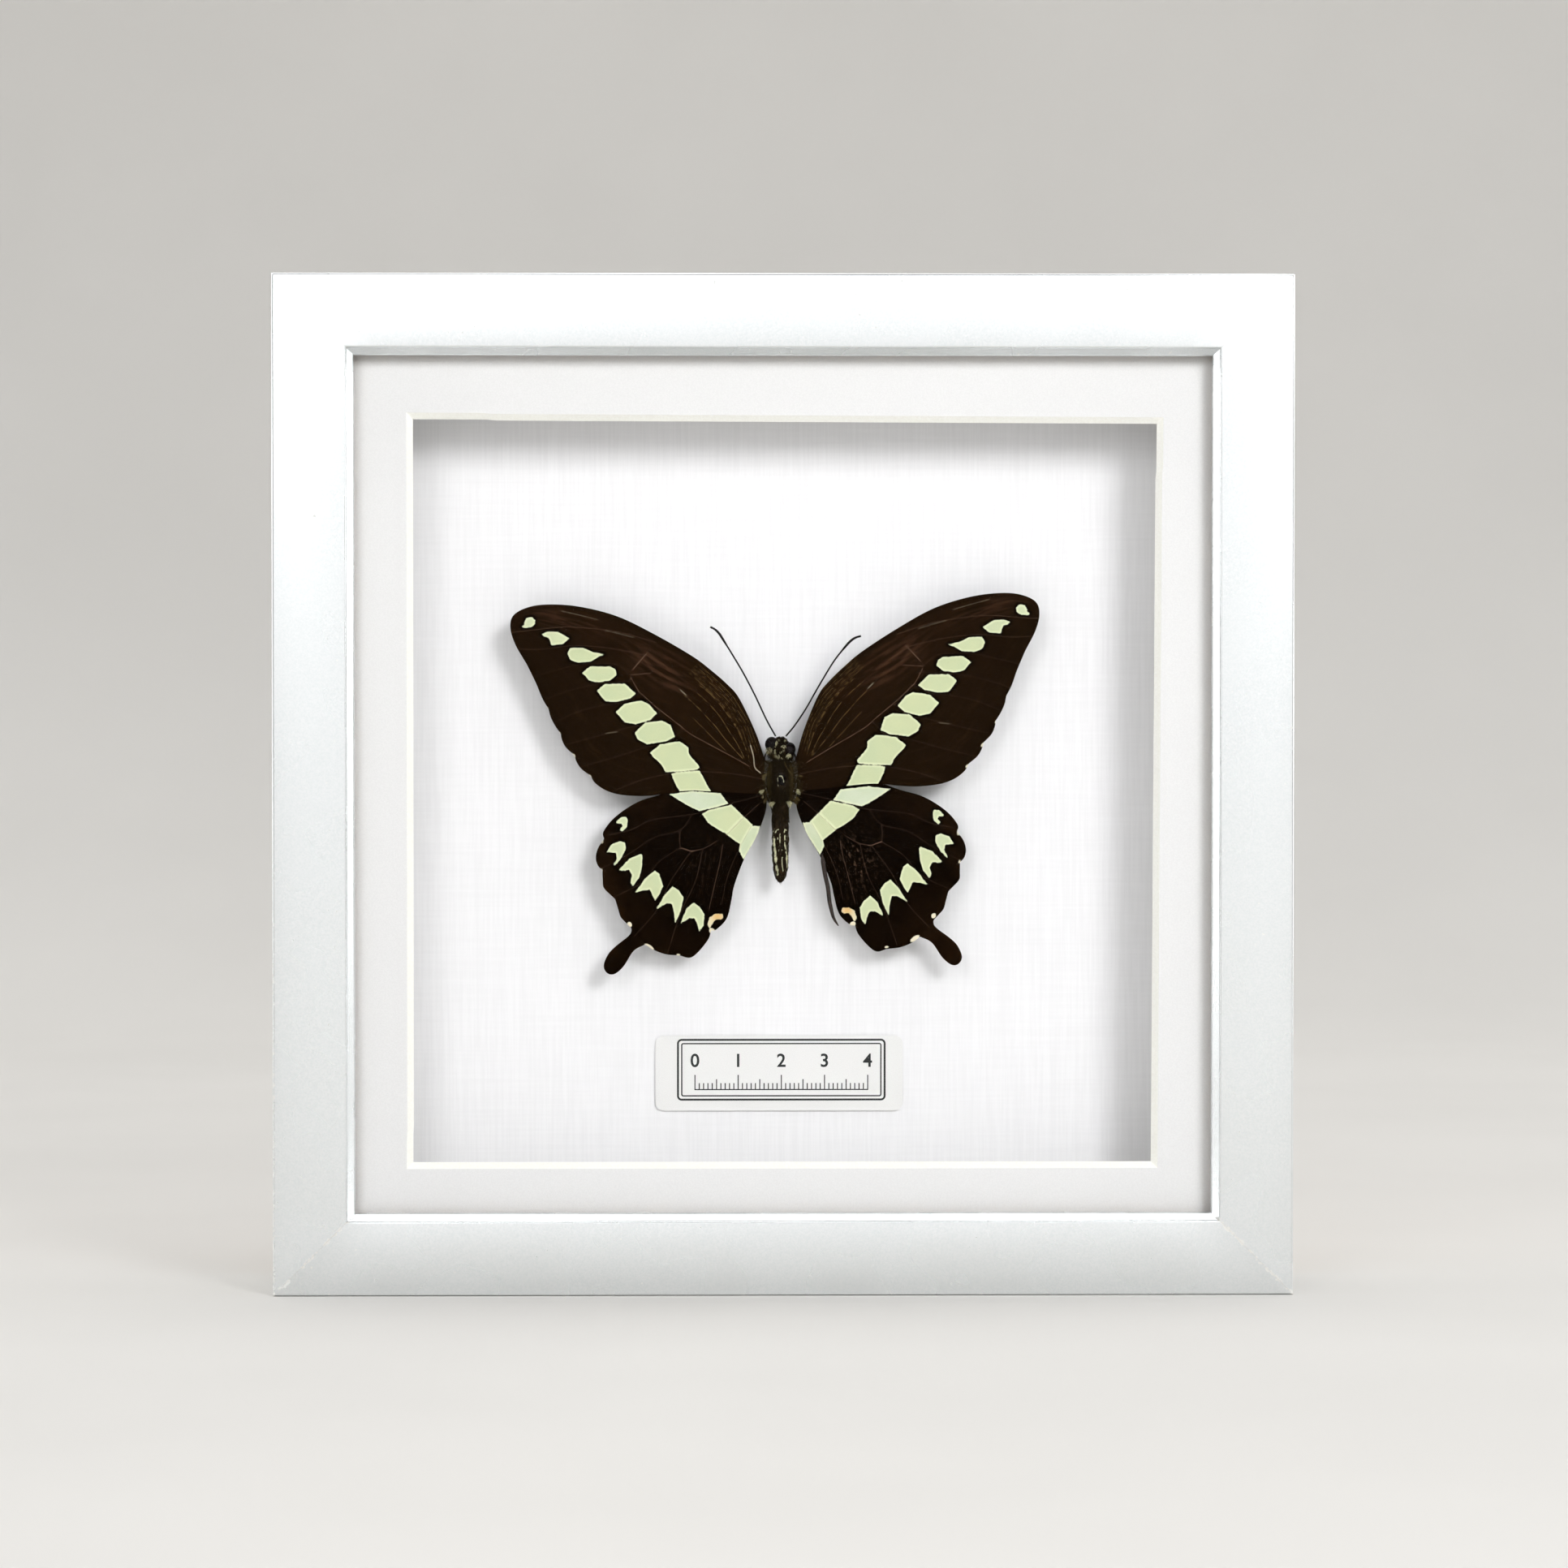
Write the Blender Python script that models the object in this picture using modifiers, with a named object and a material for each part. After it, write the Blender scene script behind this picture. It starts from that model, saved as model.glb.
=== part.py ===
"""A swallowtail butterfly set in a square silver box frame, at its real size.

The frame stands on its bottom edge and faces -Y. The origin is the middle of its bottom face.
Sizes are metres. The insect's outlines are millimetres from the point between its wing roots,
turned to metres by MM.
"""

import math

import bmesh
import bpy
from mathutils import Matrix, Vector

MM = 0.001
GAP = 0.3 * MM  # left between pieces that touch

# Frame: four mitred lengths of one moulding.
FRAME_SIZE = 230 * MM
FRAME_DEPTH = 35 * MM
FRAME_CENTRE = FRAME_SIZE / 2
FRONT = -FRAME_DEPTH / 2
BACK = FRAME_DEPTH / 2
EDGE_ROUND = 0.5 * MM  # worn outer edge of the face
FACE_WIDTH = 16.3 * MM
ARRIS = 0.4 * MM  # rounding where the face ends
LIP_STEP = 1.0 * MM  # step down from the face to the lip
SIGHT_WIDTH = 18.25 * MM  # outer edge to sight edge
SIGHT_DEPTH = 2.6 * MM  # face to the front of the sight edge
SHOULDER_DEPTH = 5 * MM  # face to the rebate's shoulder
WALL = 13 * MM  # outer edge to the rebate's wall

# Sheets in the rebate, front to back. Each is a square that clears the wall.
SHEET_SIZE = 203.2 * MM
GLASS_THICKNESS = 2 * MM
MOUNT_THICKNESS = 1.4 * MM
SPACER_DEPTH = 19.2 * MM
SPACER_WIDTH = 6 * MM
BACKING_THICKNESS = 1.4 * MM
PANEL_THICKNESS = 2.5 * MM
WINDOW_SIZE = 167.9 * MM  # window in the mount board, at the foot of its bevel
WINDOW_SHIFT = (0.1 * MM, -1.8 * MM)  # the window's centre from the frame's

GLASS_FRONT = FRONT + SHOULDER_DEPTH + GAP
MOUNT_FRONT = GLASS_FRONT + GLASS_THICKNESS + GAP
SPACER_FRONT = MOUNT_FRONT + MOUNT_THICKNESS + GAP
BACKING_FRONT = SPACER_FRONT + SPACER_DEPTH + GAP
PANEL_FRONT = BACKING_FRONT + BACKING_THICKNESS + GAP
PANEL_BACK = PANEL_FRONT + PANEL_THICKNESS

# Spring tabs in the rebate's wall hold the back panel in.
TAB_LENGTH = 10 * MM
TAB_WIDTH = 7 * MM
TAB_THICKNESS = 0.4 * MM
TAB_BURIED = 3 * MM  # length inside the rail
TAB_SPACING = 90 * MM

# Sawtooth hanger and its two nails, in the recess behind the back panel.
HANGER_LENGTH = 44 * MM
HANGER_HEIGHT = 9 * MM
HANGER_THICKNESS = 0.8 * MM
HANGER_TEETH = 11
HANGER_TOOTH = 1.6 * MM
HANGER_Z = 196 * MM
NAIL_SPACING = 38 * MM
NAIL_RADIUS = 0.6 * MM
NAIL_HEAD_RADIUS = 1.5 * MM
NAIL_HEAD = 0.5 * MM
NAIL_SUNK = 1.6 * MM

# Name card on the backing board, left with no words.
CARD_SIZE = (57.3 * MM, 17.4 * MM)
CARD_ROUND = 2 * MM
CARD_THICKNESS = 0.25 * MM
CARD_CENTRE = (-0.7 * MM, 47.8 * MM)

# Butterfly: the point between the wing roots, the wings' thickness, and their tilt to the glass.
SPECIMEN = Vector((-0.4 * MM, 3.8 * MM, 118.75 * MM))
WING_THICKNESS = 0.3 * MM
WING_TILT = math.radians(1.2)
BODY_LEAN = -0.1 * MM  # body axis from the wings' middle
RUN_STEPS = 3  # straight steps between two points of an outline

# The insect was set by hand: its right wings stand a little higher than its left ones. For each wing:
# the turn in degrees about the specimen's origin, the size, and then how far it is moved up, in mm.
SIDES = {
    "left": {"way": -1, "forewing": (0.0, 1.003, 0.0), "hindwing": (0.0, 1.0, 0.0)},
    "right": {"way": 1, "forewing": (3.1, 0.989, 0.4), "hindwing": (2.0, 0.985, 0.0)},
}

# Wing outlines, (out, up) in mm. Each run is one smooth curve, and runs meet at a notch or a corner.
FOREWING = [
    [(3.6, 1.6), (5.8, 8.0), (9.5, 15.7), (12.2, 18.9), (16.1, 22.3), (20.4, 25.5), (28.9, 30.4),
     (37.4, 34.5), (46.0, 36.7), (53.2, 37.2), (57.9, 36.5), (61.1, 34.7), (61.8, 31.9),
     (60.7, 28.1), (58.0, 23.4)],
    [(58.0, 23.4), (56.0, 19.3), (54.5, 15.7), (53.1, 13.3)],
    [(53.1, 13.3), (52.6, 11.4), (51.5, 9.3), (50.3, 7.6)],
    [(50.3, 7.6), (50.1, 6.4), (49.2, 4.6), (47.2, 2.7)],
    [(47.2, 2.7), (46.8, 1.4), (45.7, -0.3), (43.5, -2.0)],
    [(43.5, -2.0), (42.5, -3.6), (40.0, -5.3), (36.6, -6.3), (31.5, -6.6), (27.2, -6.2),
     (21.8, -5.4), (16.1, -5.5), (10.0, -5.9), (4.1, -6.1)],
]
HINDWING = [
    [(3.6, -2.6), (10.0, -1.4), (18.0, -2.6), (27.2, -6.1), (32.9, -8.0), (37.9, -11.3),
     (40.7, -14.7), (40.6, -16.5)],
    [(40.6, -16.5), (42.0, -18.6), (42.5, -20.8), (42.0, -22.6), (41.0, -23.6)],
    [(41.0, -23.6), (40.9, -25.8), (40.6, -27.8), (38.1, -30.2)],
    [(38.1, -30.2), (37.4, -32.5), (36.6, -34.7), (34.5, -36.1)],
    [(34.5, -36.1), (34.6, -38.3), (37.9, -41.1), (39.7, -43.0), (40.7, -45.6), (39.9, -47.3),
     (38.2, -47.5), (36.1, -45.7), (33.8, -42.2), (31.1, -40.7)],
    [(31.1, -40.7), (29.2, -42.0), (26.4, -43.0), (23.2, -43.3)],
    [(23.2, -43.3), (20.9, -43.8), (19.0, -42.5), (16.7, -39.6), (16.0, -37.5)],
    [(16.0, -37.5), (14.8, -37.3), (12.4, -34.7), (11.3, -30.3), (10.7, -27.2), (8.5, -21.3),
     (5.9, -16.5), (4.1, -12.2), (3.3, -9.0), (3.5, -6.6)],
]

# Turned body, (radius, up) in mm from the top down, and how much deeper than wide each piece is.
HEAD_TOP = 6.8
HEAD_BOTTOM = 1.95
HEAD_RADIUS = 2.1
HEAD_TURN = math.radians(12)
EYE_RADII = (1.5 * MM, 1.6 * MM, 1.7 * MM)
EYES = {"left": (-2.15, 5.3), "right": (1.9, 4.05)}
PALP_RADIUS = 0.45 * MM
PALPS_X = (-0.5, 0.5)
THORAX = [(0.0, 1.5), (1.8, 1.35), (2.4, 0.6), (2.75, -1.0), (2.85, -2.8), (2.65, -4.8), (2.25, -6.6),
          (1.8, -8.0), (0.0, -8.5)]
THORAX_DEEPER = 1.12
ABDOMEN_TOP = -8.85
ABDOMEN_TIP = -26.6
ABDOMEN_RADIUS = 1.9
ABDOMEN_RINGS = 8
RING_GROOVE = 0.06  # part of the radius lost at a groove
BODY_BEHIND = 0.6 * MM  # body axis behind the wings' plane
TURN_STEPS = 24

# Antennae, (across, up) in mm, root to tip.
ANTENNAE = {
    "left": [(-1.2, 7.1), (-3.3, 10.9), (-5.9, 16.4), (-8.5, 21.4), (-11.1, 25.8), (-13.2, 29.2),
             (-14.1, 30.6), (-15.1, 31.6), (-16.2, 32.2)],
    "right": [(1.15, 7.1), (3.2, 9.6), (5.8, 13.5), (7.9, 17.2), (10.0, 20.8), (12.3, 24.5),
              (15.0, 27.9), (16.3, 29.2), (17.3, 29.8), (18.4, 30.1)],
}
SHAFT_RADIUS = 0.16 * MM
CLUB_RADIUS = 0.26 * MM
CLUB_START = 0.8  # part of the length before the club

# Legs, folded behind the thorax: (out, back, up) in mm of hip, knee, ankle and claw.
LEG_RADIUS = 0.2 * MM
LEGS = {
    "fore": [(1.3, 2.1, 0.0), (3.6, 3.9, 1.6), (2.6, 5.3, 4.0), (1.9, 5.7, 2.2)],
    "mid": [(1.4, 2.2, -2.6), (4.4, 4.2, -1.6), (3.4, 5.6, -5.0), (2.7, 6.0, -7.6)],
    "hind": [(1.3, 2.1, -5.0), (3.9, 4.2, -5.6), (3.0, 5.6, -9.6), (2.4, 6.0, -12.4)],
}

# Foam pad that the body is glued to.
PAD_SIZE = (2.2 * MM, 4.0 * MM)
PAD_UP = -2.6 * MM

COLOURS = {
    "silver_foil": ("d9dcdb", 0.28, 0.75),
    "clear_glass": ("f4f8f7", 0.0, 0.0),
    "mount_board": ("f6f5ef", 0.85, 0.0),
    "foam_board": ("ecebe5", 0.8, 0.0),
    "linen_board": ("f3f3f4", 0.9, 0.0),
    "card": ("f5f5f3", 0.8, 0.0),
    "fibreboard": ("8a6a48", 0.8, 0.0),
    "zinc_steel": ("a9adb0", 0.35, 1.0),
    "brass_plate": ("b99a55", 0.35, 1.0),
    "wing": ("22170f", 0.6, 0.0),
    "body_fur": ("1b130d", 0.8, 0.0),
    "antenna": ("0c0a09", 0.5, 0.0),
}


def linear(hex_colour):
    """Linear RGBA of an sRGB hex colour."""
    parts = [int(hex_colour[i:i + 2], 16) / 255 for i in (0, 2, 4)]
    return [p / 12.92 if p <= 0.04045 else ((p + 0.055) / 1.055) ** 2.4 for p in parts] + [1.0]


def material(name):
    found = bpy.data.materials.get(name)
    if found:
        return found
    colour, roughness, metallic = COLOURS[name]
    made = bpy.data.materials.new(name)
    made.use_nodes = True
    shader = made.node_tree.nodes["Principled BSDF"]
    shader.inputs["Base Color"].default_value = linear(colour)
    shader.inputs["Roughness"].default_value = roughness
    shader.inputs["Metallic"].default_value = metallic
    if name == "clear_glass":
        shader.inputs["Transmission Weight"].default_value = 1.0
    return made


def clear_scene():
    for obj in list(bpy.data.objects):
        bpy.data.objects.remove(obj, do_unlink=True)


def new_collection(name):
    made = bpy.data.collections.new(name)
    bpy.context.scene.collection.children.link(made)
    return made


def add(name, data, surface=None, parent=None, cutter=False):
    """A new object in its collection, with its own material or, as a cutter, hidden in renders."""
    obj = bpy.data.objects.new(name, data)
    (CUTTERS if cutter else PARTS).objects.link(obj)
    obj.parent = parent
    if surface:
        data.materials.append(material(surface))
    if cutter:
        obj.hide_render = True
        obj.display_type = "WIRE"
    return obj


def box_mesh(name, low, high):
    low, high = Vector(low), Vector(high)
    bm = bmesh.new()
    size = Matrix.Diagonal((*(high - low), 1.0))
    bmesh.ops.create_cube(bm, size=1.0, matrix=Matrix.Translation((low + high) / 2) @ size)
    mesh = bpy.data.meshes.new(name)
    bm.to_mesh(mesh)
    bm.free()
    return mesh


def ball_mesh(name, radii, matrix, turns=16, rows=10):
    bm = bmesh.new()
    sized = matrix @ Matrix.Diagonal((*radii, 1.0))
    bmesh.ops.create_uvsphere(bm, u_segments=turns, v_segments=rows, radius=1.0, matrix=sized)
    mesh = bpy.data.meshes.new(name)
    bm.to_mesh(mesh)
    bm.free()
    return mesh


def outline_curve(name, points, thickness):
    """A filled flat shape, extruded by half its thickness to each side."""
    curve = bpy.data.curves.new(name, "CURVE")
    curve.dimensions = "2D"
    curve.fill_mode = "BOTH"
    curve.extrude = thickness / 2
    spline = curve.splines.new("POLY")
    spline.points.add(len(points) - 1)
    for point, (x, y) in zip(spline.points, points):
        point.co = (x, y, 0.0, 1.0)
    spline.use_cyclic_u = True
    return curve


def tube_curve(name, points, radius, sizes=None, resolution=2):
    """A tube along points, whose sizes multiply its radius at each one."""
    curve = bpy.data.curves.new(name, "CURVE")
    curve.dimensions = "3D"
    curve.bevel_depth = radius
    curve.bevel_resolution = resolution
    curve.use_fill_caps = True
    spline = curve.splines.new("POLY")
    spline.points.add(len(points) - 1)
    for i, (point, place) in enumerate(zip(spline.points, points)):
        point.co = (*place, 1.0)
        point.radius = sizes[i] if sizes else 1.0
    return curve


def as_mesh(curve):
    """The closed mesh that a curve makes, with its caps welded on."""
    holder = bpy.data.objects.new(curve.name, curve)
    CUTTERS.objects.link(holder)
    seen = holder.evaluated_get(bpy.context.evaluated_depsgraph_get())
    mesh = bpy.data.meshes.new_from_object(seen)
    bpy.data.objects.remove(holder)
    bm = bmesh.new()
    bm.from_mesh(mesh)
    bmesh.ops.remove_doubles(bm, verts=bm.verts, dist=0.001 * MM)
    bmesh.ops.recalc_face_normals(bm, faces=bm.faces)
    bm.to_mesh(mesh)
    bm.free()
    return mesh


def turned(name, profile, surface, parent=None, cutter=False):
    """A profile of (radius, height), listed from the top down, turned about Z."""
    mesh = bpy.data.meshes.new(name)
    edges = [(i, i + 1) for i in range(len(profile) - 1)]
    mesh.from_pydata([(r, 0.0, z) for r, z in profile], edges, [])
    obj = add(name, mesh, surface, parent, cutter)
    screw = obj.modifiers.new("Turn", "SCREW")
    screw.axis = "Z"
    screw.angle = math.tau
    screw.steps = screw.render_steps = TURN_STEPS
    screw.use_merge_vertices = True
    screw.merge_threshold = 0.001 * MM
    screw.use_smooth_shade = True
    return obj


def boolean(obj, other, operation="DIFFERENCE"):
    modifier = obj.modifiers.new(other.name, "BOOLEAN")
    modifier.operation = operation
    modifier.object = other
    modifier.solver = "EXACT"


def smooth_run(points, steps):
    """Catmull-Rom curve through points, as straight steps; its last point is left to the next run."""
    ends = [2 * Vector(points[0]) - Vector(points[1]), 2 * Vector(points[-1]) - Vector(points[-2])]
    line = [ends[0], *map(Vector, points), ends[1]]
    made = []
    for a, b, c, d in zip(line, line[1:], line[2:], line[3:]):
        for step in range(steps):
            t = step / steps
            made.append(0.5 * (2 * b + (c - a) * t + (2 * a - 5 * b + 4 * c - d) * t ** 2
                               + (3 * b - a - 3 * c + d) * t ** 3))
    return made


def rounded_rectangle(width, height, radius, steps=6):
    points = []
    for quarter, (x, y) in enumerate(((1, 1), (-1, 1), (-1, -1), (1, -1))):
        centre = Vector((x * (width / 2 - radius), y * (height / 2 - radius)))
        for step in range(steps + 1):
            angle = (quarter + step / steps) * math.pi / 2
            points.append(centre + radius * Vector((math.cos(angle), math.sin(angle))))
    return points


def sheet(name, front, thickness, surface, size=SHEET_SIZE):
    """A square board or pane, centred on the frame, facing -Y."""
    half = size / 2
    mesh = box_mesh(name, (-half, front, FRAME_CENTRE - half), (half, front + thickness, FRAME_CENTRE + half))
    return add(name, mesh, surface)


def rail_profile():
    """(inward from the outer edge, depth) round one moulding."""
    face_end = FACE_WIDTH + ARRIS
    return [
        (0.0, BACK),
        (0.0, FRONT + EDGE_ROUND),
        (0.3 * EDGE_ROUND, FRONT + 0.3 * EDGE_ROUND),
        (EDGE_ROUND, FRONT),
        (FACE_WIDTH, FRONT),
        (FACE_WIDTH + 0.7 * ARRIS, FRONT + 0.3 * ARRIS),
        (face_end, FRONT + ARRIS),
        (face_end, FRONT + LIP_STEP),
        (SIGHT_WIDTH - 0.3 * ARRIS, FRONT + SIGHT_DEPTH - 0.3 * ARRIS),
        (SIGHT_WIDTH, FRONT + SIGHT_DEPTH + ARRIS),
        (SIGHT_WIDTH, FRONT + SHOULDER_DEPTH),
        (WALL, FRONT + SHOULDER_DEPTH),
        (WALL, BACK),
    ]


def rail_mesh():
    """One length of moulding, lying below the frame's centre, mitred at both ends."""
    mesh = as_mesh(outline_curve("rail", rail_profile(), FRAME_SIZE))
    mitre_gap = GAP / 2 * math.sqrt(2)
    for vertex in mesh.vertices:
        inward, depth, along = vertex.co
        end = math.copysign(FRAME_SIZE / 2 - inward - mitre_gap, along)
        vertex.co = (end, depth, inward - FRAME_SIZE / 2)
    bm = bmesh.new()
    bm.from_mesh(mesh)
    bmesh.ops.recalc_face_normals(bm, faces=bm.faces)
    bm.to_mesh(mesh)
    bm.free()
    return mesh


def build_rails_and_tabs():
    """Four rails, each with two slots in the wall of its rebate and a spring tab in each slot."""
    tab_front = PANEL_BACK + GAP
    middle = tab_front + TAB_THICKNESS / 2
    wall = WALL - FRAME_SIZE / 2
    tab_low = wall - TAB_BURIED
    for turn, side in enumerate(("bottom", "left", "top", "right")):
        place = Matrix.Translation((0, 0, FRAME_CENTRE)) @ Matrix.Rotation(turn * math.pi / 2, 4, "Y")
        rail = add(f"rail_{side}", rail_mesh(), "silver_foil")
        rail.matrix_world = place
        for end, x in (("a", -TAB_SPACING / 2), ("b", TAB_SPACING / 2)):
            reach = Vector((TAB_WIDTH / 2 + GAP, TAB_THICKNESS / 2 + GAP, 0))
            low = Vector((x, middle, tab_low - GAP)) - reach
            high = Vector((x, middle, wall + GAP)) + reach
            name = f"tab_{side}_{end}"
            slot = add(f"slot_{name}", box_mesh(name, low, high), cutter=True)
            slot.matrix_world = place
            boolean(rail, slot)
            shape = rounded_rectangle(TAB_WIDTH, TAB_LENGTH, TAB_WIDTH / 4, steps=4)
            tab = add(name, outline_curve(name, shape, TAB_THICKNESS), "zinc_steel")
            lie = Matrix.Translation((x, middle, tab_low + TAB_LENGTH / 2))
            tab.matrix_world = place @ lie @ Matrix.Rotation(math.pi / 2, 4, "X")


def build_mount_board():
    """The board with its window, whose edge slopes at 45 degrees through the board."""
    board = sheet("mount_board", MOUNT_FRONT, MOUNT_THICKNESS, "mount_board")
    spare = 0.5 * MM  # the cutter passes both faces by this much
    depth = MOUNT_THICKNESS + 2 * spare
    narrow = WINDOW_SIZE / 2 - spare
    bm = bmesh.new()
    bmesh.ops.create_cone(
        bm, cap_ends=True, segments=4, radius1=narrow * math.sqrt(2),
        radius2=(narrow + depth) * math.sqrt(2), depth=depth,
        matrix=Matrix.Rotation(math.pi / 4, 4, "Z"),
    )
    mesh = bpy.data.meshes.new("window")
    bm.to_mesh(mesh)
    bm.free()
    cutter = add("window", mesh, cutter=True)
    cutter.location = (WINDOW_SHIFT[0], MOUNT_FRONT + MOUNT_THICKNESS / 2, FRAME_CENTRE + WINDOW_SHIFT[1])
    cutter.rotation_euler = (math.pi / 2, 0, 0)
    boolean(board, cutter)


def build_spacers():
    """Four strips that hold the backing board away from the mount board."""
    half = SHEET_SIZE / 2
    inner = half - SPACER_WIDTH
    front, back = SPACER_FRONT, SPACER_FRONT + SPACER_DEPTH
    upright = inner - GAP
    strips = {
        "bottom": ((-half, -half), (half, -inner)),
        "top": ((-half, inner), (half, half)),
        "left": ((-half, -upright), (-inner, upright)),
        "right": ((inner, -upright), (half, upright)),
    }
    for side, ((x0, z0), (x1, z1)) in strips.items():
        name = f"spacer_{side}"
        mesh = box_mesh(name, (x0, front, FRAME_CENTRE + z0), (x1, back, FRAME_CENTRE + z1))
        add(name, mesh, "foam_board")


def nail_place(way):
    return Vector((way * NAIL_SPACING / 2, 0, HANGER_Z))


def drill(obj, name, way, radius, front, back):
    """Cuts a round hole through obj along Y for one of the hanger's nails."""
    length = back - front
    hole = turned(name, [(0, length), (radius, length), (radius, 0), (0, 0)], None, cutter=True)
    hole.location = nail_place(way) + Vector((0, back, 0))
    hole.rotation_euler = (math.pi / 2, 0, 0)
    boolean(obj, hole)


def build_back():
    """The fibreboard panel, and the sawtooth hanger nailed to it inside the frame's recess."""
    panel = sheet("back_panel", PANEL_FRONT, PANEL_THICKNESS, "fibreboard")
    hanger_front = PANEL_BACK + GAP
    hanger_back = hanger_front + HANGER_THICKNESS
    half = HANGER_LENGTH / 2
    top = HANGER_HEIGHT / 2
    shape = [(-half, -top), (-half, top), (half, top), (half, -top)]
    start = half * 0.6
    pitch = 2 * start / HANGER_TEETH
    for tooth in range(HANGER_TEETH):
        left = start - tooth * pitch
        shape += [(left, -top), (left - pitch / 2, -top + HANGER_TOOTH)]
    shape.append((-start, -top))
    hanger = add("sawtooth_hanger", as_mesh(outline_curve("hanger", shape, HANGER_THICKNESS)), "brass_plate")
    hanger.location = (0, (hanger_front + hanger_back) / 2, HANGER_Z)
    hanger.rotation_euler = (math.pi / 2, 0, 0)
    head_front = hanger_back + GAP
    head_back = head_front + NAIL_HEAD
    point = PANEL_BACK - NAIL_SUNK
    for side, data in SIDES.items():
        way = data["way"]
        clear = NAIL_RADIUS + GAP
        drill(panel, f"panel_hole_{side}", way, clear, point - GAP, PANEL_BACK + GAP)
        drill(hanger, f"hanger_hole_{side}", way, clear, hanger_front - GAP, hanger_back + GAP)
        long = head_back - point
        profile = [(0, long), (NAIL_RADIUS, long), (NAIL_RADIUS, NAIL_HEAD), (NAIL_HEAD_RADIUS, NAIL_HEAD),
                   (NAIL_HEAD_RADIUS, 0), (0, 0)]
        nail = turned(f"hanger_nail_{side}", profile, "brass_plate")
        nail.location = nail_place(way) + Vector((0, head_back, 0))
        nail.rotation_euler = (math.pi / 2, 0, 0)


def build_card():
    shape = rounded_rectangle(*CARD_SIZE, CARD_ROUND)
    card = add("label_card", outline_curve("label_card", shape, CARD_THICKNESS), "card")
    card.location = (CARD_CENTRE[0], BACKING_FRONT - GAP - CARD_THICKNESS / 2, CARD_CENTRE[1])
    card.rotation_euler = (math.pi / 2, 0, 0)


def build_wing(specimen, name, side, outline, behind):
    """One flat wing, tilted so that its tip is nearer to the glass than its root."""
    way = SIDES[side]["way"]
    turn, size, up = SIDES[side][name]
    spin = Matrix.Rotation(math.radians(turn), 2)
    points = [size * MM * (spin @ point) for run in outline for point in smooth_run(run, RUN_STEPS)]
    points.append(size * MM * (spin @ Vector(outline[-1][-1])))
    points = [(way * x, y) for x, y in points]
    wing = add(f"{name}_{side}", outline_curve(name, points[::-way], WING_THICKNESS), "wing", specimen)
    wing.location = (0, behind, up * MM)
    wing.rotation_euler = (math.pi / 2, 0, -way * WING_TILT)


def build_head(specimen):
    """A head with two bulging eyes and two short palps, turned a little to one side."""
    middle = (HEAD_TOP + HEAD_BOTTOM) / 2 * MM
    half = (HEAD_TOP - HEAD_BOTTOM) / 2 * MM
    radius = HEAD_RADIUS * MM
    head = add("head", ball_mesh("head", (radius, radius, half), Matrix()), "body_fur", specimen)
    head.location = (0, BODY_BEHIND, middle)
    for side, (x, z) in EYES.items():
        turn = Matrix.Rotation(HEAD_TURN, 4, "Y")
        eye = add(f"eye_{side}", ball_mesh("eye", EYE_RADII, turn), parent=specimen, cutter=True)
        eye.location = (x * MM, BODY_BEHIND, z * MM)
        boolean(head, eye, "UNION")
    for x in PALPS_X:
        radii = (PALP_RADIUS, PALP_RADIUS * 2, PALP_RADIUS * 2)
        palp = add("palp", ball_mesh("palp", radii, Matrix(), 10, 6), parent=specimen, cutter=True)
        palp.location = (x * MM, BODY_BEHIND, (HEAD_TOP - 0.5) * MM)
        boolean(head, palp, "UNION")


def build_thorax(specimen):
    """The thorax, with six legs folded behind it."""
    thorax = turned("thorax", [(r * MM, z * MM) for r, z in THORAX], "body_fur", specimen)
    thorax.location = (BODY_LEAN, BODY_BEHIND, 0)
    thorax.scale = (1, THORAX_DEEPER, 1)
    for pair, joints in LEGS.items():
        for side, data in SIDES.items():
            route = [(data["way"] * x * MM, y * MM, z * MM) for x, y, z in joints]
            leg = add(f"leg_{pair}_{side}", as_mesh(tube_curve("leg", route, LEG_RADIUS, resolution=1)),
                      parent=specimen, cutter=True)
            leg.location = (BODY_LEAN, BODY_BEHIND, 0)
            boolean(thorax, leg, "UNION")


def build_abdomen(specimen):
    """A tapering abdomen with a shallow groove between its rings."""
    length = ABDOMEN_TOP - ABDOMEN_TIP
    profile = [(0.0, ABDOMEN_TOP * MM)]
    for step in range(4 * ABDOMEN_RINGS + 1):
        down = step / (4 * ABDOMEN_RINGS)
        taper = min(1.0, 0.75 + 2.5 * down) * math.sqrt(1 - down ** 6)
        groove = RING_GROOVE * (step % 4 == 0)
        radius = max(ABDOMEN_RADIUS * taper * (1 - groove), 0.0)
        profile.append((radius * MM, (ABDOMEN_TOP - 0.02 - down * (length - 0.02)) * MM))
    abdomen = turned("abdomen", profile, "body_fur", specimen)
    abdomen.location = (BODY_LEAN, BODY_BEHIND, 0)


def build_antennae(specimen):
    """Thin feelers whose last fifth thickens into a club."""
    for side, places in ANTENNAE.items():
        line = smooth_run(places, 2) + [Vector(places[-1])]
        route = [(x * MM, 0.0, z * MM) for x, z in line]
        sizes = []
        for i in range(len(route)):
            club = max(0.0, i / (len(route) - 1) - CLUB_START) / (1 - CLUB_START)
            swell = math.sin(math.pi * min(club, 0.85))
            sizes.append(1 + (CLUB_RADIUS / SHAFT_RADIUS - 1) * swell)
        curve = tube_curve(f"antenna_{side}", route, SHAFT_RADIUS, sizes, resolution=1)
        add(f"antenna_{side}", curve, "antenna", specimen)


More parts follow.
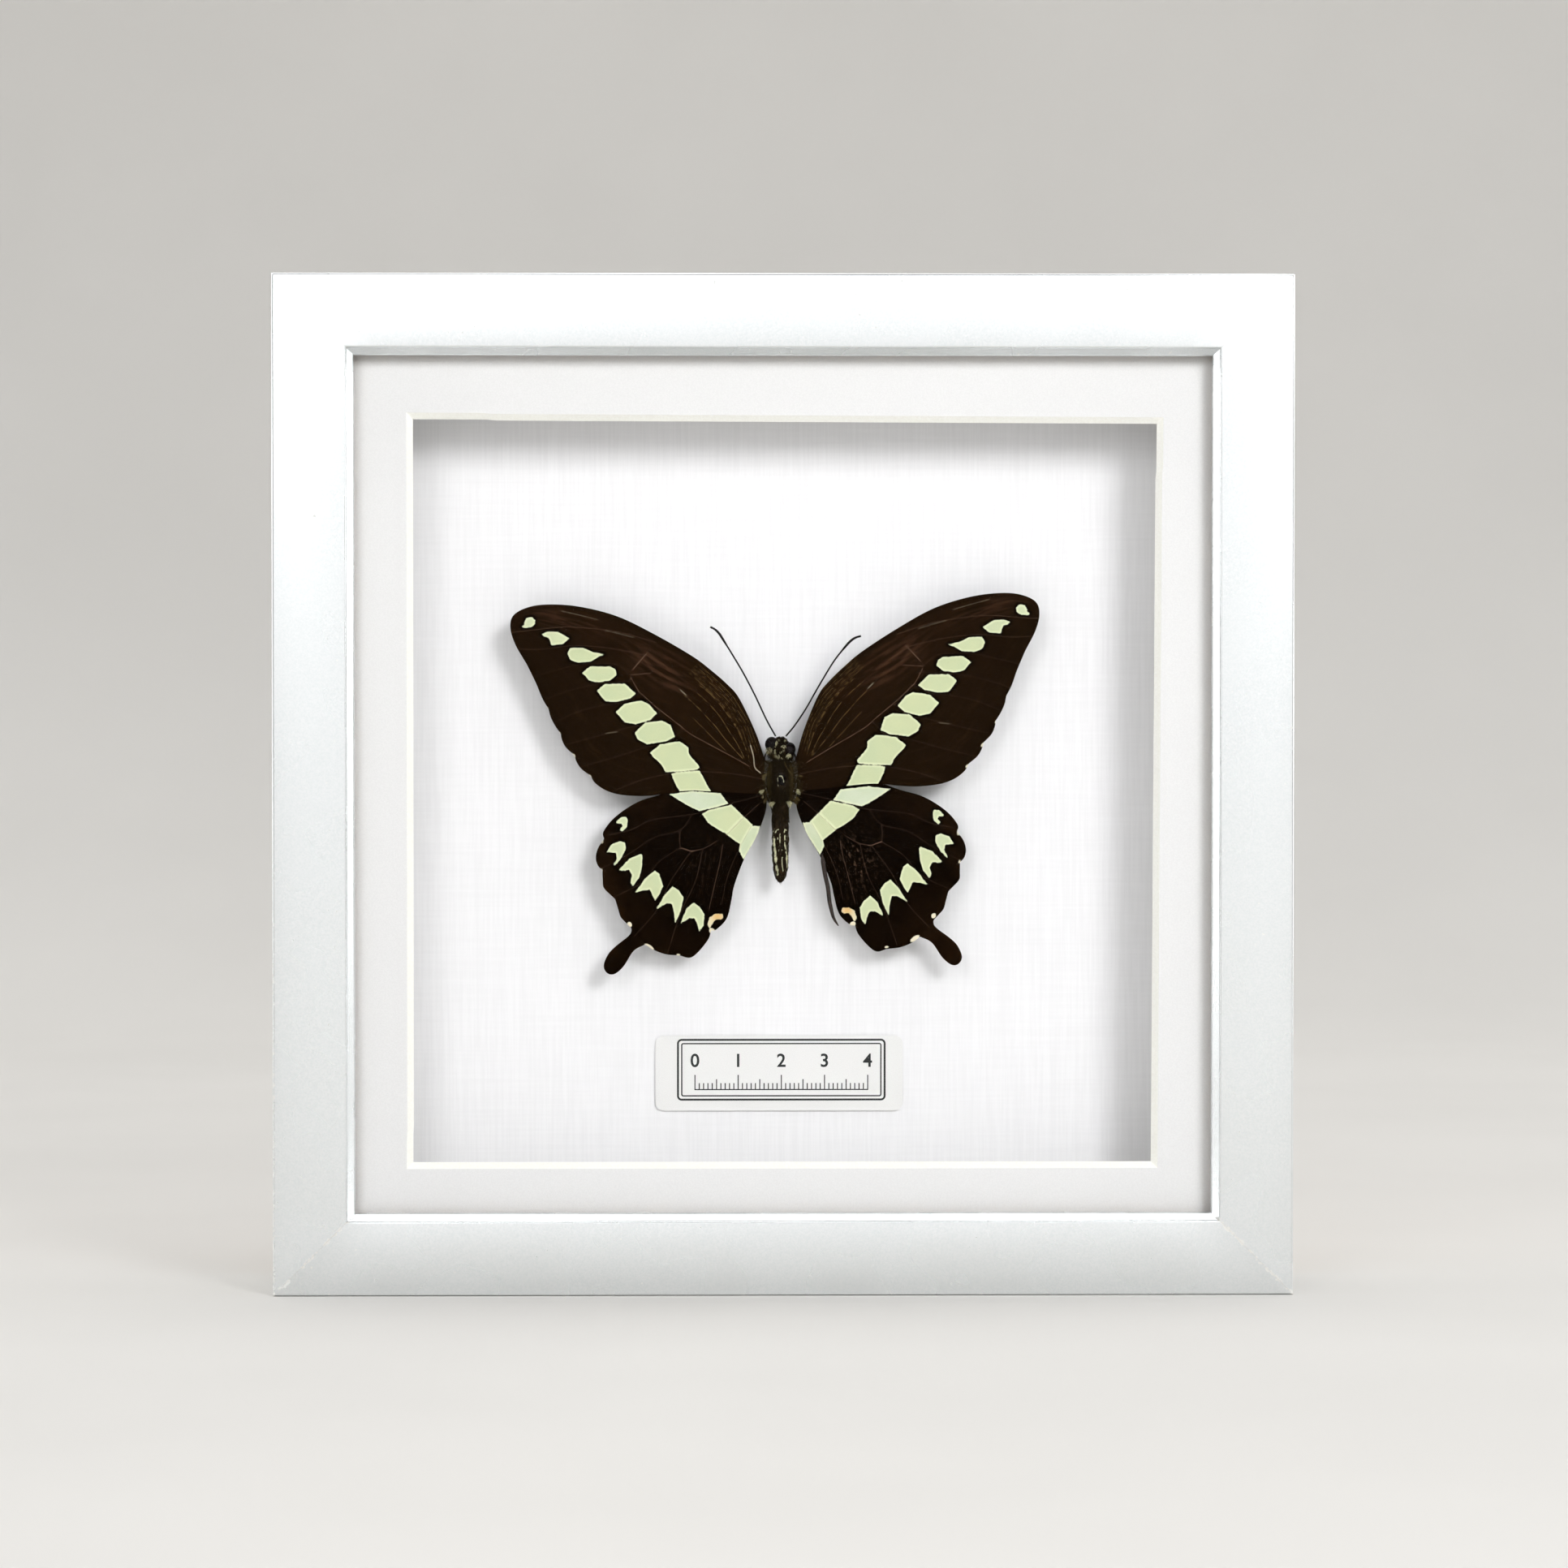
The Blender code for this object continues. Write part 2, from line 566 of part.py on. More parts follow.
def build_pad(specimen):
    """The foam pad between the thorax and the backing board."""
    front = BODY_BEHIND + THORAX_DEEPER * max(r for r, _ in THORAX) * MM + GAP
    back = BACKING_FRONT - SPECIMEN.y - GAP
    half_x, half_z = PAD_SIZE[0] / 2, PAD_SIZE[1] / 2
    low = (BODY_LEAN - half_x, front, PAD_UP - half_z)
    high = (BODY_LEAN + half_x, back, PAD_UP + half_z)
    add("foam_pad", box_mesh("foam_pad", low, high), "foam_board", specimen)


def build_butterfly():
    specimen = add("specimen", None)
    specimen.location = SPECIMEN
    for side in SIDES:
        build_wing(specimen, "forewing", side, FOREWING, 0.0)
        build_wing(specimen, "hindwing", side, HINDWING, WING_THICKNESS + GAP)
    build_head(specimen)
    build_thorax(specimen)
    build_abdomen(specimen)
    build_antennae(specimen)
    build_pad(specimen)


clear_scene()
PARTS = new_collection("framed_butterfly_specimen")
CUTTERS = new_collection("cutters")
build_rails_and_tabs()
sheet("glass_pane", GLASS_FRONT, GLASS_THICKNESS, "clear_glass")
build_mount_board()
build_spacers()
sheet("backing_board", BACKING_FRONT, BACKING_THICKNESS, "linen_board")
build_back()
build_card()
build_butterfly()
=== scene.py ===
"""Looks of a swallowtail butterfly set in a square silver box frame.

Shapes are worked out in millimetres as whole arrays, and MM turns them to metres in the mesh.
The insect's points are (out, up) from the point between its wing roots, and out is away from the body.
"""

import math

import bmesh
import bpy
import numpy as np
from mathutils import Matrix, Vector


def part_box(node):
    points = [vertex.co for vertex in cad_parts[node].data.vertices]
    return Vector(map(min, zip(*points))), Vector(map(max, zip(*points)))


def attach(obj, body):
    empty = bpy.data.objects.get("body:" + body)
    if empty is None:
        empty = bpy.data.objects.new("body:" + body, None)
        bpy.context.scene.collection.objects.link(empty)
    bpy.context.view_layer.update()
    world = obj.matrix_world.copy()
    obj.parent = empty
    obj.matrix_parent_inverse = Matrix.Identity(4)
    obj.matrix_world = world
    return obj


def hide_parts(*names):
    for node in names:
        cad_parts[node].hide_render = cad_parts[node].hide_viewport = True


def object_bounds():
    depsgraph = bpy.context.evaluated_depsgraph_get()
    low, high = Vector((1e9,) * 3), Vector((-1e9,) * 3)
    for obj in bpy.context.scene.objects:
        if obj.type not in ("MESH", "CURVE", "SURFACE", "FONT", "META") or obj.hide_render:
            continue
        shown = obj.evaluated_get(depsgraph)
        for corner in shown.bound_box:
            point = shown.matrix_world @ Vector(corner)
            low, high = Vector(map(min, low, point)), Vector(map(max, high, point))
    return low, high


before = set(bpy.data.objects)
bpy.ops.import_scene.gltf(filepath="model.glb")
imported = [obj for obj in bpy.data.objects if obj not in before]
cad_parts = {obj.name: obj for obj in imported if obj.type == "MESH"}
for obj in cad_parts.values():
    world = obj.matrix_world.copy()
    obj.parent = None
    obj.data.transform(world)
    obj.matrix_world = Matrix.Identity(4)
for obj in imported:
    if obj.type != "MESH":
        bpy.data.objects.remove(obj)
cad_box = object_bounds()

MM = 0.001

# Camera: a metre in front of the frame, a little above and to the left of its middle.
CAMERA_PLACE = (-0.0134, -1.0175, 0.1336)
CAMERA_PITCH = math.radians(-1.05)
CAMERA_YAW = math.radians(0.77)
CAMERA_LENS = 102.1  # mm, on a 36 mm sensor
CAMERA_NEAREST = 0.05

# Soft boxes, square and turned to the frame's middle: place in metres, and power in watts.
SOFT_BOXES = {"soft_box_right": ((0.5, -1.0, 0.58), 3.4), "soft_box_left": ((-0.33, -1.0, 0.52), 1.15)}
SOFT_BOX_SIZE = 0.36
# Brightness of the white tent all round and straight ahead of the frame, and what its sides, roof and
# floor add.
TENT_ROUND = 0.18
TENT_FRONT = 1.18
TENT_PANELS = 3.8

# Floor and backdrop, mm: how far the sheet runs forwards and sideways, and where and how it turns up.
SHEET_FRONT = 2500.0
SHEET_HALF_WIDTH = 2500.0
SHEET_TURN_AT = 700.0
SHEET_TURN_RADIUS = 500.0
SHEET_RISE = 1500.0
SHEET_BELOW = 0.1

# Frame moulding, mm from the outer edge inwards and from the face backwards.
FACE_WIDTH = 16.7
LIP_STEP = 1.0
LIP_DEPTH = 2.6
SHOULDER_DEPTH = 5.0
REBATE_WALL = 13.0
MITRE_GAP = 0.012  # each rail stops this far short of the mitre
SECTION_STEPS = 5  # points at each rounded corner of the section
FOILED_CORNERS = 5  # the section's first corners, which show from the front and the sides
RAIL_STATIONS = 25

# Window in the mount board: cut by hand, so it's a little out of square, and its edge steps where the
# knife was set again.
WINDOW_HALF = 83.95
WINDOW_CENTRE = (0.1, -1.8)
WINDOW_STEP = 0.22
STEP_FROM = {"top": -0.78, "right": 0.86, "left": -0.9}  # place along each side, from -1 to 1
LEFT_STEP = 0.6  # of the others
TOP_FALLS = 0.35  # from the middle to either end
RIGHT_LEANS = 0.45

# Insect: its origin from the frame's, its wings' tilt, and how far its layers lie behind the forewings.
SPECIMEN = np.array([-0.4, 3.8, 118.75])
WING_TILT = math.radians(1.2)
WING_THICKNESS = 0.14
WING_ROWS = 300
WING_COLUMNS = 130
WING_LENGTH = 60  # rough, for the grain of the scales
WING_WIDTH = 30
FOREWING_REAR = -5.9  # how far down its rear edge is at the root
HINDWING_BEHIND = 0.6
BODY_BEHIND = 0.6
BODY_LEAN = -0.1
# How each side's wings were set: the side's direction, and for each wing its turn in degrees about the
# insect's origin, its size, and then how far it's moved up.
SIDES = {
    "left": {"way": -1, "forewing": (0.0, 1.003, 0.0), "hindwing": (0.0, 1.0, 0.0)},
    "right": {"way": 1, "forewing": (3.1, 0.989, 0.4), "hindwing": (2.0, 0.985, 0.0)},
}
# No two wings are marked quite alike: turn in degrees, size, and shift out and up of each wing's markings.
MARKS = {
    ("left", "forewing"): (0.13, 1.006, -0.06, -0.04),
    ("left", "hindwing"): (0.0, 0.999, 0.2, 0.0),
    ("right", "forewing"): (2.3, 1.011, -1.35, 0.59),
    ("right", "hindwing"): (1.56, 0.982, 0.18, 0.43),
}

# Wing outlines. Each run is one smooth curve, and runs meet at a notch or a corner.
FOREWING = [
    [(3.6, 1.6), (5.8, 8.0), (9.5, 15.7), (12.2, 18.9), (16.1, 22.3), (20.4, 25.5), (28.9, 30.4),
     (37.4, 34.5), (46.0, 36.7), (53.2, 37.2), (57.9, 36.5), (61.1, 34.7), (61.8, 31.9),
     (60.7, 28.1), (58.0, 23.4)],
    [(58.0, 23.4), (56.0, 19.3), (54.5, 15.7), (53.1, 13.3)],
    [(53.1, 13.3), (52.6, 11.4), (51.5, 9.3), (50.3, 7.6)],
    [(50.3, 7.6), (50.1, 6.4), (49.2, 4.6), (47.2, 2.7)],
    [(47.2, 2.7), (46.8, 1.4), (45.7, -0.3), (43.5, -2.0)],
    [(43.5, -2.0), (42.5, -3.6), (40.0, -5.3), (36.6, -6.3), (31.5, -6.6), (27.2, -6.2),
     (21.8, -5.4), (16.1, -5.5), (10.0, -5.9), (4.1, -6.1)],
]
FOREWING_TIP = (61.8, 31.9)
HINDWING = [
    [(3.6, -2.6), (10.0, -1.4), (18.0, -2.6), (27.2, -6.1), (32.9, -8.0), (37.9, -11.3),
     (40.7, -14.7), (40.6, -16.5)],
    [(40.6, -16.5), (42.0, -18.6), (42.5, -20.8), (42.0, -22.6), (41.0, -23.6)],
    [(41.0, -23.6), (40.9, -25.8), (40.6, -27.8), (38.1, -30.2)],
    [(38.1, -30.2), (37.4, -32.5), (36.6, -34.7), (34.5, -36.1)],
    [(34.5, -36.1), (34.6, -38.3), (37.9, -41.1), (39.7, -43.0), (40.7, -45.6), (39.9, -47.3),
     (38.2, -47.5), (36.1, -45.7), (33.8, -42.2), (31.1, -40.7)],
    [(31.1, -40.7), (29.2, -42.0), (26.4, -43.0), (23.2, -43.3)],
    [(23.2, -43.3), (20.9, -43.8), (19.0, -42.5), (16.7, -39.6), (16.0, -37.5)],
    [(16.0, -37.5), (14.8, -37.3), (12.4, -34.7), (11.3, -30.3), (10.7, -27.2), (8.5, -21.3),
     (5.9, -16.5), (4.1, -12.2), (3.3, -9.0), (3.5, -6.6)],
]
HINDWING_TIP = (39.9, -47.3)
HINDWING_NECK = ((34.5, -36.1), (31.1, -40.7))  # where the tail starts, on either side
NECK_AT = 0.8  # part of the rows before the tail

# Pale markings, each a closed outline. The tint is 0 for pale green, 1 for whiter, 2 for orange.
FOREWING_SPOTS = [
    (0.4, [(58.6, 32.8), (58.1, 33.8), (56.9, 34.1), (56.1, 33.4), (56.1, 32.5), (57.1, 31.8), (58.8, 31.6),
           (59.1, 32.0), (58.5, 32.4)]),
    (0.3, [(54.6, 30.2), (53.2, 30.8), (50.9, 30.8), (48.3, 29.3), (49.8, 28.0), (52.4, 27.7), (52.7, 28.7),
           (53.0, 29.4), (54.0, 29.7)]),
    (0.1, [(48.7, 25.9), (48.1, 27.1), (45.1, 27.1), (42.8, 26.1), (40.4, 25.7), (41.7, 25.1), (43.4, 24.0),
           (46.4, 23.8), (48.1, 24.4)]),
    (0.0, [(45.4, 21.4), (43.6, 22.9), (39.1, 22.9), (37.9, 22.3), (37.5, 21.0), (39.1, 19.7), (41.7, 19.3),
           (43.8, 19.7), (44.7, 20.8)]),
    (0.0, [(42.0, 17.4), (40.2, 18.9), (35.7, 19.0), (33.2, 16.7), (34.4, 15.7), (37.4, 14.9), (40.0, 15.0),
           (40.9, 15.9)]),
    (0.0, [(37.7, 12.5), (35.7, 14.4), (31.9, 15.2), (30.2, 14.4), (28.4, 12.3), (29.8, 10.8), (33.2, 9.8),
           (35.7, 10.2)]),
    (0.0, [(33.4, 7.8), (31.0, 10.1), (27.2, 10.6), (25.3, 9.7), (24.2, 6.9), (26.3, 5.9), (30.6, 5.2),
           (32.7, 6.3)]),
    (0.0, [(29.9, 3.2), (27.6, 5.2), (23.1, 5.9), (21.2, 4.4), (21.0, 2.9), (18.6, 0.1), (19.1, -0.6),
           (22.9, -0.9), (26.3, -1.1), (27.4, 0.7), (28.9, 2.0)]),
    (0.0, [(25.0, -1.6), (23.8, -1.2), (18.6, -0.8), (17.6, -2.7), (16.1, -5.5), (19.9, -5.3), (23.1, -5.5),
           (23.8, -4.4), (24.6, -2.7)]),
]
HINDWING_SPOTS = [
    (1.0, [(25.4, -6.2), (20.1, -5.5), (13.7, -6.0), (11.9, -8.4), (14.8, -9.2), (18.5, -10.1), (20.1, -9.4),
           (22.9, -7.8)]),
    (0.0, [(17.9, -10.8), (16.5, -9.9), (11.2, -8.6), (8.4, -11.3), (12.3, -15.4), (14.4, -14.2),
           (16.5, -12.8)]),
    (0.1, [(8.35, -11.3), (6.3, -13.3), (7.6, -15.3), (9.1, -17.8), (12.4, -15.4)]),
    (0.6, [(6.6, -13.5), (4.6, -13.6), (5.4, -16.2), (8.4, -21.2), (9.4, -19.2), (9.2, -17.7), (8.0, -15.4)]),
    (0.3, [(37.6, -12.6), (36.6, -11.5), (35.4, -11.3), (35.0, -12.2), (35.2, -13.8), (36.3, -14.8),
           (36.8, -14.4), (36.1, -13.5), (36.5, -12.9), (37.4, -12.9)]),
    (0.3, [(39.8, -19.5), (38.8, -17.8), (36.8, -17.0), (35.6, -17.4), (35.5, -19.0), (36.6, -21.1),
           (38.1, -22.7), (38.2, -22.2), (37.4, -20.8), (37.7, -19.7), (39.0, -19.5)]),
    (0.1, [(37.0, -23.6), (34.7, -21.1), (32.0, -19.9), (31.6, -20.4), (31.8, -23.3), (32.4, -25.4),
           (33.8, -27.3), (34.3, -26.6), (34.0, -24.7), (34.7, -23.6), (36.3, -23.8)]),
    (0.1, [(33.3, -28.8), (30.8, -25.4), (28.8, -23.8), (27.8, -24.5), (26.9, -27.2), (27.6, -29.0),
           (28.7, -30.6), (29.4, -29.3), (29.9, -28.1), (31.8, -28.4)]),
    (0.1, [(28.5, -32.7), (26.5, -29.3), (24.7, -27.4), (23.3, -28.3), (22.2, -29.9), (22.9, -33.2),
           (24.1, -35.7), (24.4, -33.2), (24.9, -31.3), (26.1, -31.3)]),
    (0.1, [(22.9, -36.0), (21.5, -32.5), (19.9, -31.1), (18.5, -32.2), (17.4, -33.8), (17.6, -36.4),
           (18.6, -37.9), (18.9, -36.4), (19.6, -34.8), (20.8, -34.7), (22.2, -35.5)]),
    (2.0, [(16.6, -36.3), (16.2, -34.5), (14.8, -33.7), (13.2, -33.8), (13.0, -34.7), (13.7, -35.1),
           (14.8, -35.0), (15.5, -35.9), (16.1, -37.1)]),
]
# Pale scales at the notches of the outer edge: (out, up, turn in degrees, half-length, half-width).
FOREWING_NICKS = [(53.3, 13.4, 60, 0.3, 0.2), (50.5, 7.7, 55, 0.3, 0.2), (47.3, 2.6, 50, 0.5, 0.28),
                  (43.6, -2.1, 50, 0.5, 0.3)]
HINDWING_NICKS = [(41.0, -16.7, 80, 0.75, 0.4), (41.0, -23.7, 80, 0.4, 0.22), (34.6, -36.2, 60, 0.6, 0.5),
                  (30.1, -41.4, 33, 1.2, 0.5), (23.4, -43.2, 0, 0.4, 0.25), (15.6, -37.7, 45, 0.75, 0.6)]

# Bare veins, each with how strongly it shows.
FOREWING_VEINS = [
    (0.42, [(7.4, 0.3), (12.6, 3.2), (20.4, 7.4), (23.1, 9.5), (25.7, 11.5), (28.8, 13.9), (31.4, 16.3),
            (32.5, 17.3), (34.3, 20.4)]),
    (0.3, [(34.4, 21.0), (29.9, 21.4)]),
    (0.6, [(33.8, 22.3), (30.9, 25.7)]),
    (0.06, [(34.4, 20.8), (37.4, 23.3), (41.7, 23.6), (46.8, 23.2), (52.4, 21.7), (56.9, 20.4)]),
    (0.06, [(33.6, 19.6), (37.4, 19.4), (41.7, 19.0), (46.8, 17.8), (52.0, 16.1), (54.2, 15.0)]),
    (0.06, [(31.9, 16.9), (35.9, 14.8), (40.0, 14.2), (46.0, 12.7), (51.7, 10.2)]),
    (0.07, [(27.6, 12.5), (31.0, 9.8), (34.9, 9.0), (41.7, 7.1), (49.3, 5.0)]),
    (0.08, [(22.5, 8.7), (26.1, 5.4), (30.6, 4.6), (37.4, 2.4), (45.8, 0.0)]),
    (0.1, [(4.1, -2.7), (9.0, -1.8), (14.0, -1.2), (22.1, -1.1), (31.0, -2.7), (38.6, -5.6)]),
    (0.12, [(31.0, 25.5), (37.4, 26.8), (43.0, 27.5), (48.1, 27.6), (54.5, 26.8), (60.0, 26.8)]),
    (0.16, [(28.9, 28.5), (37.4, 30.8), (48.1, 31.9), (55.4, 31.3), (61.5, 30.6)]),
]
HINDWING_VEINS = [
    (0.1, [(3.7, -6.4), (11.9, -8.5), (18.0, -10.4), (22.9, -11.2), (29.7, -12.2), (34.3, -14.4),
           (39.6, -15.6)]),
    (0.1, [(20.1, -10.8), (22.9, -14.4), (29.0, -16.2), (34.7, -19.9), (41.2, -23.4)]),
    (0.14, [(22.9, -14.4), (23.1, -16.5), (22.9, -18.5)]),
    (0.6, [(22.9, -18.5), (21.6, -18.9), (20.5, -19.3), (19.6, -19.2)]),
    (0.2, [(19.6, -19.2), (17.3, -18.6), (14.6, -17.0)]),
    (0.5, [(12.2, -15.5), (8.1, -11.4)]),
    (0.2, [(8.1, -11.4), (5.0, -8.6)]),
    (0.1, [(22.9, -18.5), (27.9, -21.8), (31.8, -26.5), (38.4, -30.0)]),
    (0.12, [(20.5, -19.4), (25.1, -26.1), (28.4, -32.9), (33.6, -39.0)]),
    (0.12, [(17.8, -18.9), (19.4, -26.1), (22.9, -33.6), (25.8, -42.6)]),
    (0.22, [(13.2, -18.0), (13.8, -21.7), (14.6, -25.2), (15.5, -29.1), (16.3, -32.6)]),
    (0.1, [(9.1, -18.4), (10.8, -21.8), (12.4, -26.4), (13.4, -31.4)]),
    (0.3, [(6.6, -13.6), (8.1, -16.4), (9.3, -18.6)]),
]

# Broken lines of tan scales on the forewing, each with how strongly it shows. The last one is repeated
# side by side along the front edge.
STREAKS = [
    (0.34, [(20.4, 17.8), (17.8, 15.7), (15.7, 13.6), (13.6, 11.0), (11.8, 8.1), (10.0, 5.3), (8.4, 2.1)]),
    (0.3, [(18.6, 18.6), (16.3, 16.8), (13.9, 14.2), (12.1, 11.8), (10.2, 8.9), (8.7, 5.8), (7.4, 2.6)]),
    (0.34, [(22.0, 16.3), (19.6, 14.2), (17.3, 11.8), (14.9, 9.2), (12.9, 6.6), (10.8, 4.2), (8.7, 1.9)]),
    (0.25, [(19.9, 11.0), (17.8, 8.9), (15.2, 6.3), (12.6, 3.7)]),
    (0.2, [(19.9, 22.5), (17.0, 19.9), (14.2, 17.3), (11.8, 14.7), (10.0, 11.8), (8.4, 9.2), (7.4, 6.3),
           (6.3, 3.2)]),
]
STREAK_REPEATS = [(0.55, -0.5), (1.1, -1.0), (-0.5, 0.5), (-1.0, 1.05)]
# Pale seams and scratches, likewise. The forewing's first one is on the left wing alone.
FOREWING_SEAMS = [
    (0.6, [(7.0, 5.0), (6.3, 2.4), (6.0, 0.0), (4.7, -1.3)]),
    (0.1, [(50.0, 35.5), (46.0, 34.6), (42.0, 33.6)]),
    (0.1, [(40.0, 31.1), (37.0, 30.4), (33.9, 29.6)]),
    (0.12, [(37.6, 8.0), (39.8, 7.7)]),
    (0.3, [(21.9, 16.6), (22.9, 17.5)]),
]
HINDWING_SEAMS = [
    (0.6, [(4.5, -2.3), (6.9, -2.3)]),
    (0.7, [(5.2, -5.9), (7.2, -4.7)]),
]

# Strip of the right hindwing's inner edge that has split off and folded over, (out, up).
FOLDED_STRIP = [(9.4, -19.9), (10.15, -24.6), (10.8, -27.6), (11.15, -30.6), (11.6, -32.8), (12.15, -34.7),
                (13.25, -36.5)]
STRIP_RADIUS = 0.5
STRIP_FLATNESS = 0.25

# Body, (radius, up) of what is turned about its long axis.
HEAD_MIDDLE = 4.3
EYES = [(-2.15, 5.3), (1.9, 4.05)]
EYE_RADII = (1.5, 1.6, 1.7)
HEAD_TURN = math.radians(12)
PALPS_X = (-0.5, 0.5)
THORAX = [(0.8, 1.8), (1.8, 1.5), (2.4, 0.6), (2.75, -1.0), (2.85, -2.8), (2.65, -4.8), (2.25, -6.6),
          (1.8, -8.0), (0.6, -8.5)]
THORAX_DEEPER = 1.12
PLATE = (0.1, -2.9, 1.75, 2.1)  # bare glossy part of the thorax: across, up, half-width, half-height
# Raised rim round the top of the plate, (across, up). Its pale colour is a painted highlight.
PLATE_RIM = [(-0.65, -4.4), (-0.82, -3.5), (-0.75, -2.7), (-0.45, -2.15), (-0.1, -2.0), (0.3, -2.2),
             (0.52, -2.8), (0.58, -3.6), (0.5, -4.3)]
PLATE_BULGE = 0.25
PLATE_RIM_RADIUS = 0.13
ABDOMEN_TOP = -8.3
ABDOMEN_TIP = -26.6
ABDOMEN_RADIUS = 1.9
ABDOMEN_RINGS = 8
LEG_RADIUS = 0.2
ANTENNA_RADIUS = 0.185
ANTENNA_CLUB = 0.1  # how much thicker the club is
ANTENNA_JOINTS = 60

# Hair: its width in mm, and how many roots are drawn for each part, of which some are left out.
HAIR_WIDTH = 0.08
SKULL_HAIRS = 2600
CHEEK_HAIRS = 600
EYE_HAIRS = 700
THORAX_HAIRS = 11000
WING_ROOT_HAIRS = 3600
ABDOMEN_HAIRS = 9000
PALE_LINE_HALF_WIDTH = 0.12

# Pale tufts among the dark hair, (across, up, half-width, half-height, paleness), and thin pale lines.
HEAD_TUFTS = [(-1.06, 5.5, 0.4, 0.65, 1.0), (-1.4, 4.95, 0.45, 0.25, 0.8), (0.6, 4.8, 0.55, 0.35, 1.0),
              (-2.6, 3.9, 0.8, 0.8, 0.75), (1.75, 2.75, 0.55, 0.6, 1.0), (-1.5, 2.7, 0.5, 0.4, 0.5),
              (-0.39, 6.15, 0.22, 0.22, 0.85), (0.85, 6.1, 0.2, 0.25, 0.85)]
HEAD_LINES = [[(0.66, 4.06), (-0.39, 3.2), (-0.2, 2.6), (0.3, 2.1)],
              [(-1.25, 4.06), (-1.15, 2.9), (-0.58, 2.34)]]
THORAX_LINE = [(0.75, 1.2), (1.4, -0.1), (2.5, -1.75)]
THORAX_TUFTS = [(-1.75, -8.1, 0.5, 0.45, 0.9), (1.7, -8.0, 0.5, 0.45, 0.9)]
ROOT_TUFTS = [(-4.25, -5.45, 0.5, 0.4, 1.0), (-3.85, -6.5, 0.25, 0.6, 0.75), (3.8, -5.6, 0.35, 0.65, 1.0),
              (-3.75, -2.2, 0.4, 0.7, 0.65), (-3.3, -1.6, 0.35, 0.2, 0.7), (3.7, -7.2, 0.3, 0.4, 0.6),
              (4.1, -1.8, 0.5, 0.15, 0.6), (-3.4, -7.6, 0.3, 0.5, 0.45), (3.3, -7.9, 0.3, 0.5, 0.45)]
# Cream streaks of the abdomen, each a half-width and its line.
ABDOMEN_STREAKS = [
    (0.34, [(-1.65, -16.6), (-1.45, -18.7), (-1.1, -21.9), (-0.75, -24.6)]),
    (0.22, [(0.88, -15.7), (0.88, -17.6), (1.13, -18.7), (1.3, -20.7), (1.5, -23.1)]),
    (0.12, [(-0.2, -15.2), (-0.25, -17.4)]),
    (0.14, [(0.3, -20.7), (0.3, -22.4), (0.46, -23.9)]),
    (0.16, [(-1.2, -15.0), (-0.95, -14.4), (-0.6, -14.3)]),
    (0.16, [(0.8, -14.9), (0.95, -14.3), (1.3, -14.5)]),
]
# Antennae, (across, up) from the head outwards.
ANTENNAE = {
    "left": [(-1.2, 7.1), (-3.3, 10.9), (-5.9, 16.4), (-8.5, 21.4), (-11.1, 25.8), (-13.2, 29.2),
             (-14.1, 30.6), (-15.1, 31.6), (-16.2, 32.2)],
    "right": [(1.15, 7.1), (3.2, 9.6), (5.8, 13.5), (7.9, 17.2), (10.0, 20.8), (12.3, 24.5),
              (15.0, 27.9), (16.3, 29.2), (17.3, 29.8), (18.4, 30.1)],
}
# Legs of one side, folded behind the body: joints as (out, behind the body's middle, up).
LEGS = [
    [(1.3, 2.1, 0.0), (3.6, 3.9, 1.6), (2.6, 5.3, 4.0), (1.9, 5.7, 2.2)],
    [(1.4, 2.2, -2.6), (4.2, 4.2, -1.6), (3.0, 5.6, -5.0), (2.0, 6.0, -7.6)],
    [(1.3, 2.1, -5.0), (3.4, 4.2, -5.6), (2.0, 5.6, -9.6), (1.1, 6.0, -12.4)],
]

# Name card: a printed double border round a plain scale of centimetres.
BORDERS = [((48.3, 14.3), 1.1, 0.45), ((46.4, 12.4), 0.5, 0.3)]  # (width, height), corner, line width
BORDER_CENTRE = (0.5, 0.8)  # from the card's centre
SCALE_LENGTH = 40
SCALE_TICKS = {10: 3.4, 5: 2.4, 1: 1.5}  # a tick's height where its place divides by the key
TICK_WIDTH = 0.25
TICK_FOOT = -4.6  # from the borders' centre
DIGIT_FOOT = 0.7
DIGIT_HEIGHT = 3.0
DIGIT_OF_TYPE = 0.7  # a numeral's height, as a part of the type size
DIGIT_HEAVIER = 0.07
INK_THICKNESS = 0.02


def linear(hex_colour):
    """Linear RGBA of an sRGB hex colour."""
    parts = [int(hex_colour[i:i + 2], 16) / 255 for i in (0, 2, 4)]
    return [p / 12.92 if p <= 0.04045 else ((p + 0.055) / 1.055) ** 2.4 for p in parts] + [1.0]


def node(tree, kind, inputs=None, **settings):
    """Adds a shader node with its settings. An input is a value, or another node's output to link."""
    made = tree.nodes.new("ShaderNode" + kind)
    for key, value in settings.items():
        setattr(made, key, value)
    for key, value in (inputs or {}).items():
        if isinstance(value, bpy.types.NodeSocket):
            tree.links.new(value, made.inputs[key])
        else:
            made.inputs[key].default_value = value
    return made


def new_material(name, colour, roughness, **plain):
    """A material with its shader's plain values, and its tree and shader to build on."""
    made = bpy.data.materials.new(name)
    made.use_nodes = True
    tree = made.node_tree
    shader = tree.nodes["Principled BSDF"]
    shader.inputs["Base Color"].default_value = linear(colour)
    shader.inputs["Roughness"].default_value = roughness
    for key, value in plain.items():
        shader.inputs[key.replace("_", " ")].default_value = value
    return made, tree, shader


def place_in_mm(tree, stretch=(1, 1, 1)):
    """Object coordinates in millimetres, each axis multiplied by stretch."""
    place = node(tree, "TexCoord").outputs["Object"]
    scale = [s / MM for s in stretch]
    return node(tree, "Mapping", {"Vector": place, "Scale": scale}).outputs[0]


